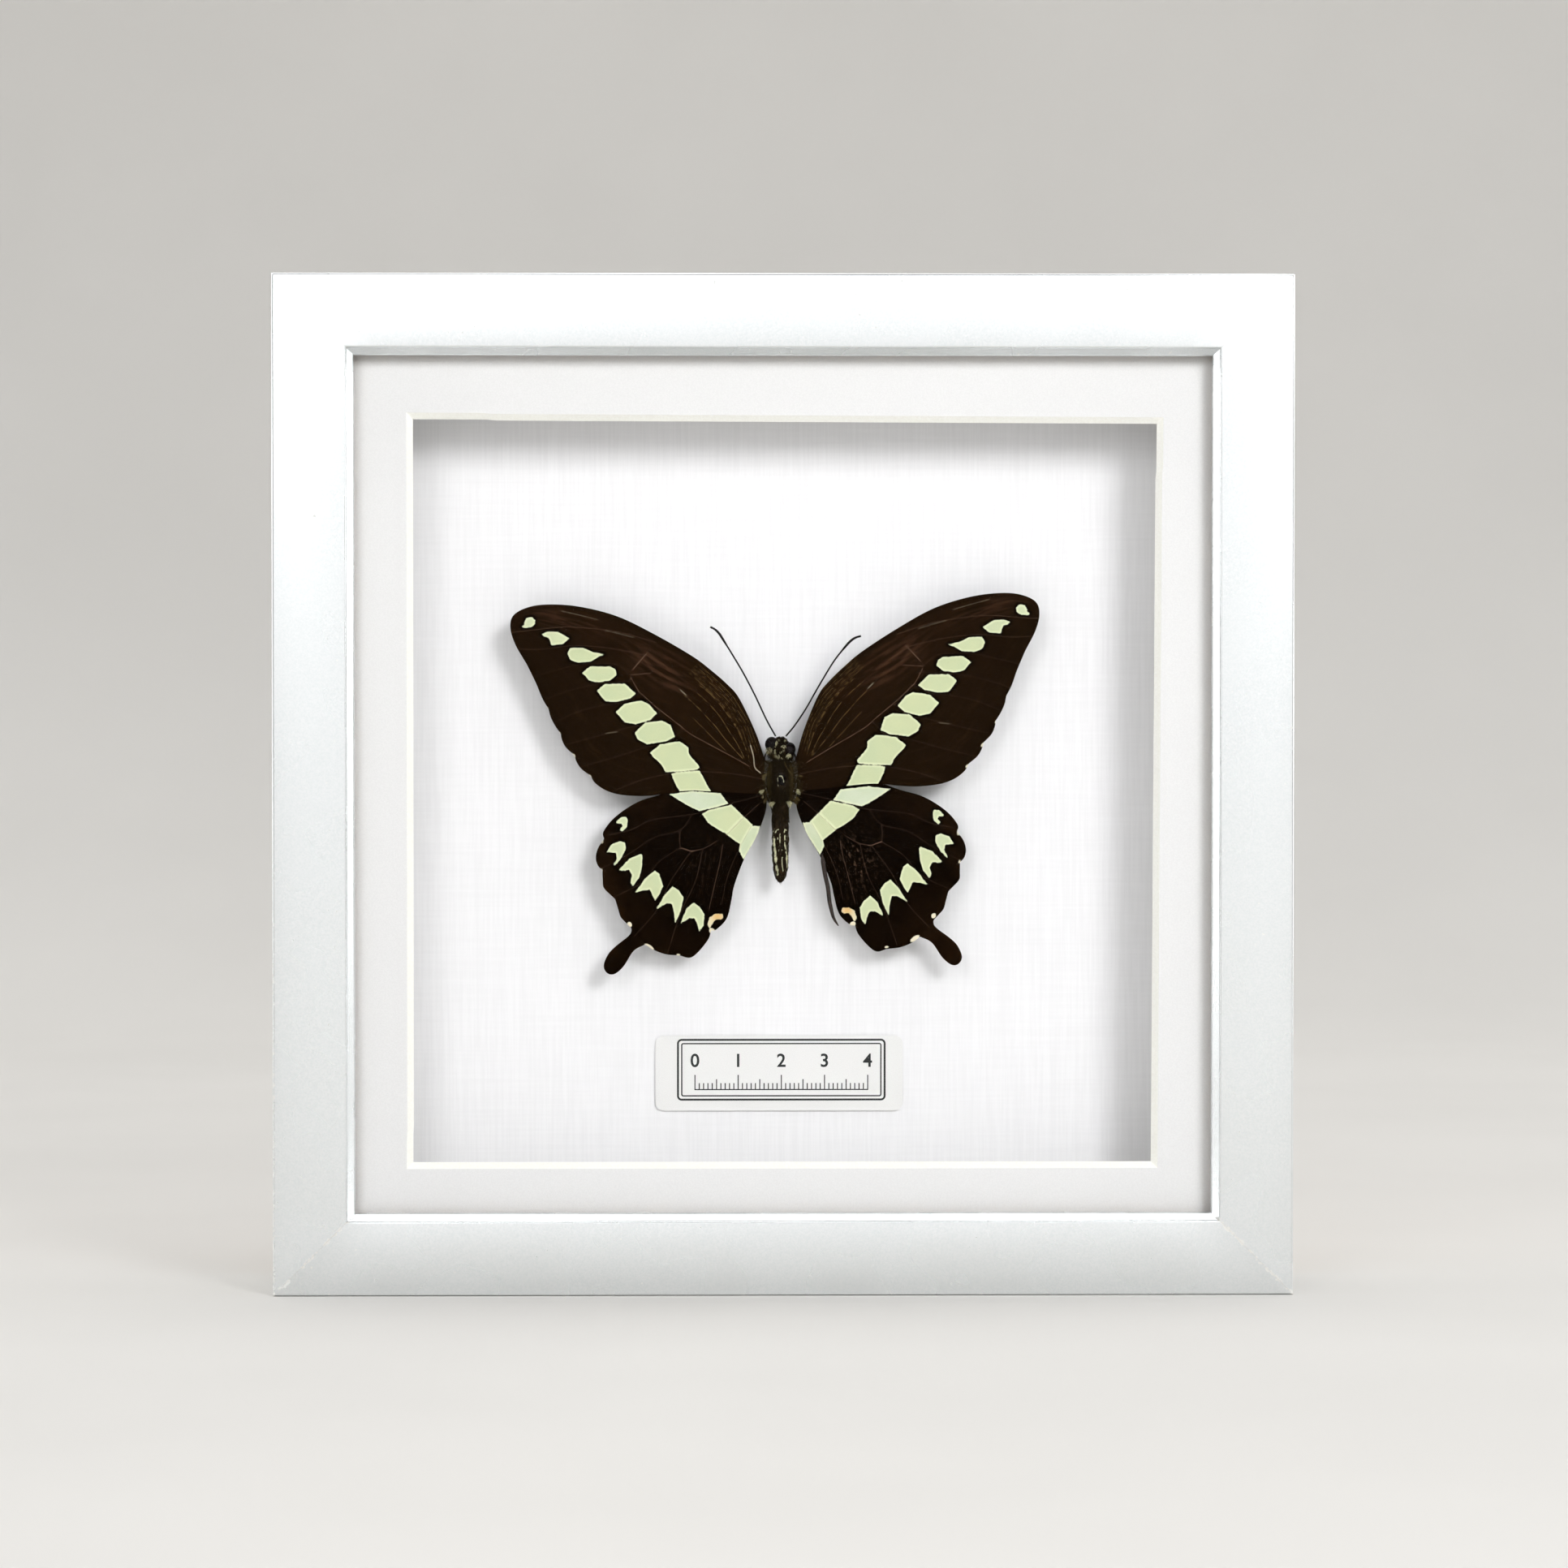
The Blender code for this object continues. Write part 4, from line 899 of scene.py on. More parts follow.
def add_print(ink):
    """The card's print: each border is a flat ring, and the ticks are flat bars, all as thick as toner."""
    low, high = node_box("label_card")
    centre = (low + high) / 2
    front = low[1] - INK_THICKNESS
    points, faces, start = [], [], 0
    for (width, height), corner, line in BORDERS:
        outer = rounded_rectangle(width, height, corner)
        inner = rounded_rectangle(width - 2 * line, height - 2 * line, max(corner - line, 0.1))
        count = len(outer)
        for loop, depth in ((outer, 0), (inner, 0), (inner, INK_THICKNESS), (outer, INK_THICKNESS)):
            points.append(np.stack([loop[:, 0], np.full(count, depth), loop[:, 1]], 1))
        faces.append(ring_of_loops(4, count) + start)
        start += 4 * count
    cube = np.array([(x, y, z) for x in (-0.5, 0.5) for y in (0, 1) for z in (-0.5, 0.5)])
    sides = np.array([(0, 1, 3, 2), (4, 6, 7, 5), (0, 4, 5, 1), (2, 3, 7, 6), (0, 2, 6, 4), (1, 5, 7, 3)])
    for tick in range(SCALE_LENGTH + 1):
        tall = next(height for step, height in SCALE_TICKS.items() if tick % step == 0)
        place = (tick - SCALE_LENGTH / 2, 0, TICK_FOOT + tall / 2)
        points.append(cube * (TICK_WIDTH, INK_THICKNESS, tall) + place)
        faces.append(sides[:, ::-1] + start)
        start += len(cube)
    points.append(cube * (SCALE_LENGTH + TICK_WIDTH, INK_THICKNESS, TICK_WIDTH) + (0, 0, TICK_FOOT))
    faces.append(sides[:, ::-1] + start)
    middle = np.array([centre[0] + BORDER_CENTRE[0], front, centre[2] + BORDER_CENTRE[1]])
    add_piece("label_print", np.concatenate(points) + middle, faces, [ink])
    return middle


def add_digits(ink, middle):
    """Plain numerals over the long ticks, one for each centimetre."""
    numerals = bmesh.new()
    for number in range(SCALE_LENGTH // 10 + 1):
        text = bpy.data.curves.new("digit", "FONT")
        text.body = str(number)
        text.size = DIGIT_HEIGHT / DIGIT_OF_TYPE * MM
        text.align_x = "CENTER"
        text.extrude = INK_THICKNESS / 2 * MM
        text.offset = DIGIT_HEAVIER * MM
        holder = bpy.data.objects.new("digit", text)
        bpy.context.scene.collection.objects.link(holder)
        seen = holder.evaluated_get(bpy.context.evaluated_depsgraph_get())
        mesh = bpy.data.meshes.new_from_object(seen)
        bpy.data.objects.remove(holder)
        x = middle[0] + number * 10 - SCALE_LENGTH / 2
        place = Vector((x, middle[1] + INK_THICKNESS / 2, middle[2] + DIGIT_FOOT)) * MM
        mesh.transform(Matrix.Translation(place) @ Matrix.Rotation(math.pi / 2, 4, "X"))
        numerals.from_mesh(mesh)
        bpy.data.meshes.remove(mesh)
    bmesh.ops.remove_doubles(numerals, verts=numerals.verts, dist=0.001 * MM)
    bmesh.ops.recalc_face_normals(numerals, faces=numerals.faces)
    mesh = bpy.data.meshes.new("label_digits")
    numerals.to_mesh(mesh)
    numerals.free()
    mesh.materials.append(ink)
    join_scene(bpy.data.objects.new("label_digits", mesh))


def wing_outline(runs):
    return np.vstack([curve_through(run, 8) for run in runs] + [[runs[-1][-1]]])


def split_at(outline, tip):
    """The two ways from a wing's root to its tip: along its front edge, and along its rear edge."""
    at = np.linalg.norm(outline - tip, axis=1).argmin()
    return outline[:at + 1], outline[at:][::-1]


def wing_grid(outline, tip, neck=None):
    """A wing as a loft: row s joins the points at part s of its two edges' lengths by a straight line.
    Where the wing has a neck, part NECK_AT of the rows come before it on either edge."""
    edges = split_at(outline, np.array(tip))
    ends = []
    for edge, pin in zip(edges, neck or (None, None)):
        total = lengths_along(edge)[-1]
        s = np.linspace(0, 0.9985, WING_ROWS)
        if pin is None:
            stations = s * total
        else:
            at = lengths_along(edge)[np.linalg.norm(edge - pin, axis=1).argmin()]
            stations = np.interp(s, [0, NECK_AT, 1], [0, at, total])
        ends.append(points_at(edge, stations))
    t = np.linspace(0, 1, WING_COLUMNS)[None, :, None]
    return (1 - t) * ends[0][:, None] + t * ends[1][:, None]


def line_fields(flat, name, lines):
    """Signed distance to the nearest of some lines, its size, and that line's strength."""
    reach = np.full(len(flat), 99.0)
    strength = np.zeros(len(flat))
    for look, line in lines:
        found = nearest(flat, full_curve(line, 6))
        nearer = np.abs(found) < np.abs(reach)
        reach[nearer] = found[nearer]
        strength[nearer] = look
    return {name: reach, name + "_reach": np.abs(reach), name + "_strength": strength}


def spot_fields(flat, spots, nicks):
    """Signed distance to the nearest pale spot with that spot's tint, and to the nearest pale nick."""
    pale = np.full(len(flat), 99.0)
    tint = np.zeros(len(flat))
    for colour, loop in spots:
        reach = depth_inside(flat, np.array(loop))
        nearer = reach < pale
        pale[nearer] = reach[nearer]
        tint[nearer] = colour
    nick = np.full(len(flat), 99.0)
    for x, y, turn, long, short in nicks:
        rel = moved(flat - (x, y), -turn) / (long, short)
        nick = np.minimum(nick, (np.linalg.norm(rel, axis=1) - 1) * short)
    return {"pale": pale, "tint": tint, "nick": nick}


def bell(distance, width):
    return np.exp(-(distance / width) ** 2)


def moved(flat, turn, size=1.0, shift=(0.0, 0.0)):
    """Points turned by an angle in degrees, then sized, then shifted."""
    angle = math.radians(turn)
    spin = np.array([[math.cos(angle), math.sin(angle)], [-math.sin(angle), math.cos(angle)]])
    return size * (flat @ spin) + shift


def forewing_look(side, flat, s, t):
    """Relief: veins stand up as narrow ridges, the skin between them sinks, and the whole wing arches
    from root to tip and from front to rear."""
    fields = spot_fields(flat, FOREWING_SPOTS, FOREWING_NICKS)
    fields.update(line_fields(flat, "vein", FOREWING_VEINS))
    seams = FOREWING_SEAMS if side == "left" else FOREWING_SEAMS[1:]
    fields.update(line_fields(flat, "seam", seams))
    look, last = STREAKS[-1]
    beside = [(look, np.array(last) + shift) for shift in STREAK_REPEATS]
    fields.update(line_fields(flat, "streak", STREAKS + beside))
    fields["warmth"] = np.clip(1.15 - t * 1.3, 0.2, 1) * np.clip(t * 20, 0, 1)
    rubbed = moved(flat - (27.5, 22.5), -36) / (7.5, 3.2)
    tip = moved(flat - (50.0, 33.5), -18) / (8.0, 1.8)
    fields["worn"] = 0.45 * bell(np.linalg.norm(rubbed, axis=1), 1.0)
    fields["worn"] += 0.25 * bell(np.linalg.norm(tip, axis=1), 1.0)
    fields["orange"] = np.zeros(len(flat))
    ribs = fields["vein_reach"]
    relief = 0.6 * np.sin(math.pi * s) * np.sin(math.pi * t) + 0.06 * bell(ribs, 0.22)
    relief += 0.08 * bell(ribs, 1.2) + 0.04 * bell(fields["streak_reach"], 0.25)
    return fields, relief


def hindwing_look(side, flat, s, t):
    """As the forewings. The right one is scuffed inside its band."""
    fields = spot_fields(flat, HINDWING_SPOTS, HINDWING_NICKS)
    fields.update(line_fields(flat, "vein", HINDWING_VEINS))
    fields.update(line_fields(flat, "seam", HINDWING_SEAMS))
    fields.update(line_fields(flat, "streak", []))
    fields["warmth"] = np.clip(0.9 - t * 3.0, 0, 1) + 0.9 * np.clip((s - 0.45) * 3, 0, 1)
    scuffed = (flat - (16.6, -22.6)) / (4.2, 6.5)
    fields["worn"] = (0.42 if side == "right" else 0.1) * bell(np.linalg.norm(scuffed, axis=1), 1.0)
    fields["orange"] = bell(np.hypot(flat[:, 0] - 14.4, flat[:, 1] + 34.3), 1.4)
    ribs = fields["vein_reach"]
    arch = 0.5 * np.sin(math.pi * np.clip(s / NECK_AT, 0, 1)) * np.sin(math.pi * t)
    return fields, arch + 0.06 * bell(ribs, 0.22) + 0.08 * bell(ribs, 1.2)


def add_wing(name, side, grid, look, finish, behind):
    """A thin closed shell: the grid's relief at the front, the same at the back one thickness behind,
    joined all round. The wing is tilted about its root, and mirrored to its side of the body."""
    way = SIDES[side]["way"]
    turn, size, rise = SIDES[side][name]
    rows, columns = grid.shape[:2]
    parts = np.meshgrid(np.linspace(0, 1, rows), np.linspace(0, 1, columns), indexing="ij")
    s, t = (part.ravel() for part in parts)
    flat = moved(grid.reshape(-1, 2), turn, size, (0.0, rise))
    mark_turn, mark_size, *mark_shift = MARKS[side, name]
    fields, relief = look(side, moved((flat - mark_shift) / mark_size, -mark_turn), s, t)
    fields["along"], fields["across"] = s * WING_LENGTH, t * WING_WIDTH
    out, up = flat[:, 0], flat[:, 1]
    depth = behind - relief - out * math.sin(WING_TILT)
    front = np.stack([way * out, depth - WING_THICKNESS / 2, up], -1).reshape(rows, columns, 3)
    rear = front + (0, WING_THICKNESS, 0)
    shell = np.concatenate([front, rear[:, ::-1]], 1) + SPECIMEN
    ring = shell.shape[1]
    half = np.arange(columns - 1)
    cap = np.stack([half, half + 1, ring - 2 - half, ring - 1 - half], 1)
    faces = [grid_quads(rows, ring, ring=True), cap[:, ::-1], cap + (rows - 1) * ring]
    both = {}
    for key, values in fields.items():
        part = values.reshape(rows, columns)
        both[key] = np.concatenate([part, part[:, ::-1]], 1).ravel()
    add_piece(f"{name}_scaled_{side}", shell.reshape(-1, 3), faces, [finish], [f"{name}_{side}"],
              fields=both, crease=50)


def add_wings():
    fore = wing_grid(wing_outline(FOREWING), FOREWING_TIP)
    hind = wing_grid(wing_outline(HINDWING), HINDWING_TIP, [np.array(p) for p in HINDWING_NECK])
    fore_finish = wing_scales("forewing_scales", "160c03", "201206", "5d4130", (0.42, 0.66), 9.0, 0.05)
    hind_finish = wing_scales("hindwing_scales", "080300", "1c0f04", "6c5848", (0.52, 0.68), 1.3, 0.02)
    for side in SIDES:
        add_wing("forewing", side, fore, forewing_look, fore_finish, 0.0)
        add_wing("hindwing", side, hind, hindwing_look, hind_finish, HINDWING_BEHIND)


def add_folded_strip(skin):
    """A flat tube along the split, which tapers to a point and curls forwards from the wing."""
    line = full_curve(FOLDED_STRIP, 16)
    part = np.linspace(0, 1, len(line))
    depth = HINDWING_BEHIND - line[:, 0] * math.sin(WING_TILT) - 0.3 - 0.8 * part ** 2
    route = np.stack([line[:, 0], depth, line[:, 1]], 1)
    radii = STRIP_RADIUS * np.sqrt(np.clip(1.02 - part ** 3, 0, 1)) * np.clip(part * 12 + 0.3, 0, 1)
    points, faces = ring_body(tube(route, radii, 12, STRIP_FLATNESS))
    add_piece("split_strip", points + SPECIMEN, faces, [skin])


def ring_body(rings):
    """Points and faces of a closed body: rings of points joined in order, and a fan to the middle of
    the first and the last ring."""
    rows, turns = rings.shape[:2]
    points = np.concatenate([rings.reshape(-1, 3), rings[:1].mean(1), rings[-1:].mean(1)])
    j = np.arange(turns)
    k = (j + 1) % turns
    first = np.stack([np.full(turns, rows * turns), k, j], 1)
    last = np.stack([np.full(turns, rows * turns + 1), j, k], 1)
    last[:, 1:] += (rows - 1) * turns
    return points, [grid_quads(rows, turns, ring=True), first, last]


def joined(bodies):
    """Several closed bodies as one list of points and face blocks."""
    points, faces, start = [], [], 0
    for body_points, body_faces in bodies:
        points.append(body_points)
        faces += [block + start for block in body_faces]
        start += len(body_points)
    return np.concatenate(points), faces


def turned(profile, turns, deeper, rows):
    """A profile of (radius, height), smoothed and turned about the height axis, deeper than wide."""
    line = full_curve(profile, 6)
    total = lengths_along(line)[-1]
    line = points_at(line, np.linspace(0, total, rows))
    angle = np.linspace(0, math.tau, turns, endpoint=False)
    x = line[:, :1] * np.cos(angle)
    y = line[:, :1] * np.sin(angle) * deeper
    return np.stack([x, y, np.broadcast_to(line[:, 1:], x.shape)], -1)


def tube(route, radii, turns=10, flat=1.0):
    """A circle of the given radius carried along a route. Its first axis is square to the route and to
    the line of sight, and its second, which may be flattened, is square to both."""
    heading = np.gradient(route, axis=0)
    heading /= np.linalg.norm(heading, axis=1)[:, None]
    side = np.cross(heading, (0.0, 1.0, 0.01))
    side /= np.linalg.norm(side, axis=1)[:, None]
    other = np.cross(heading, side)
    angle = np.linspace(0, math.tau, turns, endpoint=False)[None, :, None]
    ring = np.cos(angle) * side[:, None] + flat * np.sin(angle) * other[:, None]
    return route[:, None] + ring * np.asarray(radii)[:, None, None]


def ball(centre, radii, turns=28, rows=18, turn=0.0):
    """An ellipsoid of latitude rings about the height axis, turned in the plane of the wings."""
    lat = np.linspace(-math.pi / 2, math.pi / 2, rows + 2)[1:-1, None]
    angle = np.linspace(0, math.tau, turns, endpoint=False)[None]
    x = radii[0] * np.cos(lat) * np.cos(angle)
    y = radii[1] * np.cos(lat) * np.sin(angle)
    z = np.broadcast_to(radii[2] * np.sin(lat), x.shape)
    spun = np.stack([x * math.cos(turn) + z * math.sin(turn), y, z * math.cos(turn) - x * math.sin(turn)], -1)
    return spun + centre


def add_hairs(name, roots, heading, length, tone, finish, seed):
    """Each hair is a three-sided spike of two joints, from its root along its heading, drooping back
    by a quarter of its length at the tip."""
    rng = np.random.default_rng(seed)
    count = len(roots)
    heading = heading + rng.normal(0, 0.22, heading.shape)
    heading /= np.linalg.norm(heading, axis=1)[:, None]
    side = np.cross(heading, rng.normal(0, 1, heading.shape))
    side /= np.linalg.norm(side, axis=1)[:, None]
    other = np.cross(heading, side)
    angle = np.arange(3) * math.tau / 3
    ring = side[:, None] * np.cos(angle)[:, None] + other[:, None] * np.sin(angle)[:, None]
    length = length[:, None, None]
    ahead = heading[:, None]
    droop = np.array([0.0, 0.0, -1.0])
    base = roots[:, None] + ring * HAIR_WIDTH / 2 - ahead * HAIR_WIDTH
    middle = roots[:, None] + ahead * length * 0.55 + ring * HAIR_WIDTH * 0.35 + droop * length * 0.06
    tip = roots[:, None] + ahead * length + droop * length * 0.25
    points = np.concatenate([base, middle, tip], 1)
    start = 7 * np.arange(count)[:, None, None]
    quads = (np.array([(0, 1, 4, 3), (1, 2, 5, 4), (2, 0, 3, 5)]) + start).reshape(-1, 4)
    triangles = (np.array([(3, 4, 6), (4, 5, 6), (5, 3, 6), (2, 1, 0)]) + start).reshape(-1, 3)
    fields = {"tone": np.repeat(tone, 7)}
    add_piece(name, points.reshape(-1, 3) + SPECIMEN, [quads, triangles], [finish], fields=fields)


def scattered(rings, count, rng):
    """Random points of a body's surface, with its normal there and its share of the length. Each quad is
    drawn with a chance that is proportional to its area."""
    wrapped = np.concatenate([rings, rings[:, :1]], 1)
    across = wrapped[:-1, 1:] - wrapped[:-1, :-1]
    along = wrapped[1:, :-1] - wrapped[:-1, :-1]
    normal = np.cross(across, along)
    area = np.linalg.norm(normal, axis=-1)
    pick = rng.choice(area.size, count, p=area.ravel() / area.sum())
    i, j = np.unravel_index(pick, area.shape)
    u, v = rng.random((2, count))
    root = wrapped[i, j] + across[i, j] * u[:, None] + along[i, j] * v[:, None]
    normal = normal[i, j] / np.maximum(area[i, j], 1e-9)[:, None]
    inside = rings.mean((0, 1))
    if ((root - inside) * normal).sum() < 0:
        normal = -normal
    return root, normal, (i + v) / len(rings)


def pale_marks(tone, root, tufts, lines, rng):
    """Lightens the hairs whose roots lie in an elliptical tuft or beside a line."""
    for x, z, wide, tall, level in tufts:
        near = np.hypot((root[:, 0] - x) / wide, (root[:, 2] - z) / tall) < rng.uniform(0.8, 1.1, len(root))
        tone[near] = level * rng.uniform(0.8, 1.0, near.sum())
    for line in lines:
        near = np.abs(nearest(root[:, [0, 2]], full_curve(line, 6))) < PALE_LINE_HALF_WIDTH
        tone[near] = rng.uniform(0.65, 0.85, near.sum())


def skin_fields(points, bare, cream=0.0):
    """How bare the skin is, and how much cream it has, each one value or one for each point. On the plate's
    rim the cream is a painted highlight.
    """
    return {"bare": np.full(len(points), bare), "cream": np.full(len(points), cream)}


def add_head(skin, eye, hair):
    """A skull with two palps, two cheeks and two eyes, all ellipsoids. Hair grows on the eyes only where
    it is pale."""
    middle = np.array([0.0, BODY_BEHIND, HEAD_MIDDLE])
    skull = ball(middle, (1.9, 1.9, 2.6))
    palps = [ball(middle + (x, -0.2, 1.9), (0.42, 0.8, 0.85), 16, 10) for x in PALPS_X]
    cheeks = [ball((x, BODY_BEHIND, z), (1.2, 1.2, 1.35), 32, 20) for x, z in ((-1.7, 3.0), (1.7, 2.7))]
    points, faces = joined([ring_body(part) for part in (skull, *palps, *cheeks)])
    add_piece("head_skin", points + SPECIMEN, faces, [skin], ["head"],
              fields=skin_fields(points, 0.3))
    globes = [ball((x, BODY_BEHIND - 0.35, z), EYE_RADII, 48, 30, turn=HEAD_TURN) for x, z in EYES]
    points, faces = joined([ring_body(part) for part in globes])
    add_piece("eyes", points + SPECIMEN, faces, [eye], ["head"])
    rng = np.random.default_rng(5)
    bases = [(skull, SKULL_HAIRS)] + [(part, CHEEK_HAIRS) for part in cheeks]
    bases += [(part, EYE_HAIRS) for part in globes]
    found = [scattered(part, count, rng)[:2] for part, count in bases]
    root, normal = (np.concatenate([part[i] for part in found]) for i in (0, 1))
    tone = np.clip(rng.normal(0.05, 0.08, len(root)), 0, 0.35)
    pale_marks(tone, root, HEAD_TUFTS, HEAD_LINES, rng)
    on_eye = np.arange(len(root)) >= len(root) - len(globes) * EYE_HAIRS
    keep = (normal[:, 1] < 0.5) & (~on_eye | (tone > 0.45))
    root, normal, tone = root[keep], normal[keep], tone[keep]
    length = rng.uniform(0.2, 0.6, len(root)) + 0.15 * (tone > 0.6)
    add_hairs("head_hair", root, normal + (0, 0, -0.5), length, tone, hair, seed=6)


def add_thorax(skin, hair):
    """A turned body, whose bare plate bulges forwards as a bell and has a raised rim at its top, coloured
    pale as a painted highlight. Each leg is a tube through its joints, a little swollen at each."""
    rings = turned(THORAX, 72, THORAX_DEEPER, 80) + (BODY_LEAN, BODY_BEHIND, 0)
    x, z, wide, tall = PLATE
    share = bell(np.hypot((rings[..., 0] - x) / wide, (rings[..., 2] - z) / tall), 0.8)
    rings[..., 1] -= PLATE_BULGE * share * (rings[..., 1] < BODY_BEHIND)
    points, faces = ring_body(rings)
    share = bell(np.hypot((points[:, 0] - x) / wide, (points[:, 2] - z) / tall), 0.8)
    add_piece("thorax_skin", points + SPECIMEN, faces, [skin], ["thorax"],
              fields=skin_fields(points, share * 1.2 * (points[:, 1] < BODY_BEHIND)))

    line = full_curve(PLATE_RIM, 8)
    part = np.linspace(-1, 1, len(line))
    full = max(radius for radius, _ in THORAX)
    front = BODY_BEHIND - 0.2 - THORAX_DEEPER * full * np.sqrt(1 - (line[:, 0] / full) ** 2)
    rim = tube(np.stack([line[:, 0], front, line[:, 1]], 1), PLATE_RIM_RADIUS * (1.1 - part ** 4))
    points, faces = ring_body(rim)
    # The rim's pale tone is a painted highlight carried in the cream field. It is brightest at the rim's top
    # and fainter down its flanks.
    pale = np.concatenate([np.repeat(0.72 - 0.22 * part ** 2, rim.shape[1]), [0.3, 0.3]])
    add_piece("plate_rim_painted_highlight", points + SPECIMEN, faces, [skin],
              fields=skin_fields(points, 1.0, pale))

    legs = []
    for joints in LEGS:
        for way in (-1, 1):
            route = full_curve([(way * x + BODY_LEAN, y + BODY_BEHIND, z) for x, y, z in joints], 10)
            part = np.linspace(0, 1, len(route))
            swell = 1 + 0.25 * bell(np.mod(part * 3, 1) - 0.1, 0.12)
            legs.append(ring_body(tube(route, LEG_RADIUS * (1 - 0.5 * part) * swell)))
    points, faces = joined(legs)
    add_piece("legs", points + SPECIMEN, faces, [skin], ["thorax"],
              fields=skin_fields(points, 0.5))

    rng = np.random.default_rng(8)
    root, normal, _ = scattered(rings, THORAX_HAIRS, rng)
    off = np.hypot((root[:, 0] - PLATE[0]) / wide, (root[:, 2] - PLATE[1]) / tall)
    bald = (rng.random(len(root)) < bell(off, 0.85) * 1.5) & (root[:, 1] < BODY_BEHIND)
    keep = ~bald & (normal[:, 1] < 0.6)
    root, normal = root[keep], normal[keep]
    flank = np.clip((np.abs(root[:, 0] - BODY_LEAN) - 1.6) / 1.0, 0, 1)
    tone = np.clip(rng.normal(0.08 + 0.22 * flank, 0.05 + 0.09 * flank), 0, 0.6)
    pale_marks(tone, root, THORAX_TUFTS, [], rng)
    seam = np.abs(nearest(root[:, [0, 2]], full_curve(THORAX_LINE, 6))) < PALE_LINE_HALF_WIDTH
    tone[seam] = 0.45
    white = tone > 0.7
    outward = np.stack([np.sign(root[:, 0]), np.zeros(len(root)), np.zeros(len(root))], 1)
    lay = normal * 0.6 + np.array([0, -0.1, -0.8]) + outward * white[:, None] * 1.2
    length = rng.uniform(0.3, 0.75, len(root)) * (1 + 0.8 * white)
    add_hairs("thorax_hair", root, lay, length, tone, hair, seed=9)


def add_root_hair(hair):
    """Down on the wings' roots: short hairs combed outwards, and pale tufts, each of three lobes."""
    rng = np.random.default_rng(21)
    count = WING_ROOT_HAIRS
    out = 2.2 + 2.6 * rng.random(count) ** 1.5
    up = rng.uniform(-8.0, 1.6, count)
    root = [np.stack([np.where(rng.random(count) < 0.5, -1, 1) * out, np.zeros(count), up], 1)]
    tone = [np.clip(rng.normal(0.16, 0.09, count), 0, 0.4)]
    for x, z, wide, tall, level in ROOT_TUFTS:
        amount = int(260 * wide * tall) + 40
        angle, reach = rng.uniform(0, math.tau, amount), np.sqrt(rng.random(amount))
        reach = reach * (0.45 + 0.55 * np.abs(np.cos(1.5 * angle + x)))
        root.append(np.stack([x + wide * reach * np.cos(angle), np.full(amount, -0.12),
                              z + tall * reach * np.sin(angle)], 1))
        tone.append(level * rng.uniform(0.5, 1.0, amount))
    root, tone = np.concatenate(root), np.concatenate(tone)
    behind = np.where(root[:, 2] < FOREWING_REAR, HINDWING_BEHIND, 0.0)
    root[:, 1] += behind - np.abs(root[:, 0]) * math.sin(WING_TILT)
    lay = np.stack([np.sign(root[:, 0]), np.full(len(root), -0.25), np.full(len(root), -0.5)], 1)
    add_hairs("wing_root_hair", root, lay, rng.uniform(0.3, 0.8, len(root)), tone, hair, seed=22)


def abdomen_rings(rows=180, turns=96):
    """Radius: full but for a rounded tip and a slightly narrow start, less a groove at each ring. Below
    its hairy start the skin has dried into lengthwise folds, which are waves round the axis that drift
    and grow towards the tip."""
    down = np.linspace(0, 0.998, rows)
    taper = np.minimum(1.0, 0.8 + 2.0 * down) * np.sqrt(1 - down ** 6)
    groove = 1 - 0.05 * bell(np.mod(down * ABDOMEN_RINGS + 0.5, 1) - 0.5, 0.14)
    angle = np.linspace(0, math.tau, turns, endpoint=False)
    drift = 0.9 * np.sin(down * 17)[:, None] + 0.5 * np.sin(down * 41 + 1)[:, None]
    fold = 0.05 * np.sin(7 * angle + drift) + 0.03 * np.sin(13 * angle - 1.7 * drift + down[:, None] * 9)
    fold = fold * (np.clip((down - 0.14) * 8, 0, 1) * (1 + 0.9 * down ** 4))[:, None]
    radius = ABDOMEN_RADIUS * (taper * groove)[:, None] * (1 + fold)
    x = radius * np.cos(angle) + BODY_LEAN
    y = radius * np.sin(angle) + BODY_BEHIND
    z = np.broadcast_to((ABDOMEN_TOP + down * (ABDOMEN_TIP - ABDOMEN_TOP))[:, None], x.shape)
    return np.stack([x, y, z], -1)


def add_abdomen(skin, hair):
    rings = abdomen_rings()
    points, faces = ring_body(rings)
    cream = np.zeros(len(points))
    for half_width, line in ABDOMEN_STREAKS:
        reach = np.abs(nearest(points[:, [0, 2]], full_curve(line, 6)))
        cream = np.maximum(cream, np.clip(1.2 - 0.75 * reach / half_width, 0, 1))
    crest = np.linalg.norm(points[:, :2] - (BODY_LEAN, BODY_BEHIND), axis=1) / ABDOMEN_RADIUS
    lower = np.clip((-13.0 - points[:, 2]) / 2, 0, 1) * np.clip((points[:, 2] + 26.0) / 2, 0, 1)
    cream = np.maximum(cream, lower * (0.3 + np.clip((crest - 1.0) * 5, -0.3, 0.25)))
    cream *= points[:, 1] < BODY_BEHIND
    bare = np.clip((-10.5 - points[:, 2]) / 3, 0, 0.55)
    add_piece("abdomen_skin", points + SPECIMEN, faces, [skin], ["abdomen"],
              fields=skin_fields(points, bare, cream))
    rng = np.random.default_rng(12)
    root, normal, down = scattered(rings, ABDOMEN_HAIRS, rng)
    keep = (normal[:, 1] < 0.5) & (rng.random(len(root)) < np.clip(1.3 - 4.5 * down, 0.07, 1))
    root, normal = root[keep], normal[keep]
    tone = np.clip(rng.normal(0.1, 0.08, len(root)), 0, 0.4)
    lay = normal * 0.35 + np.array([0, 0, -1.0])
    add_hairs("abdomen_hair", root, lay, rng.uniform(0.3, 0.6, len(root)), tone, hair, seed=13)


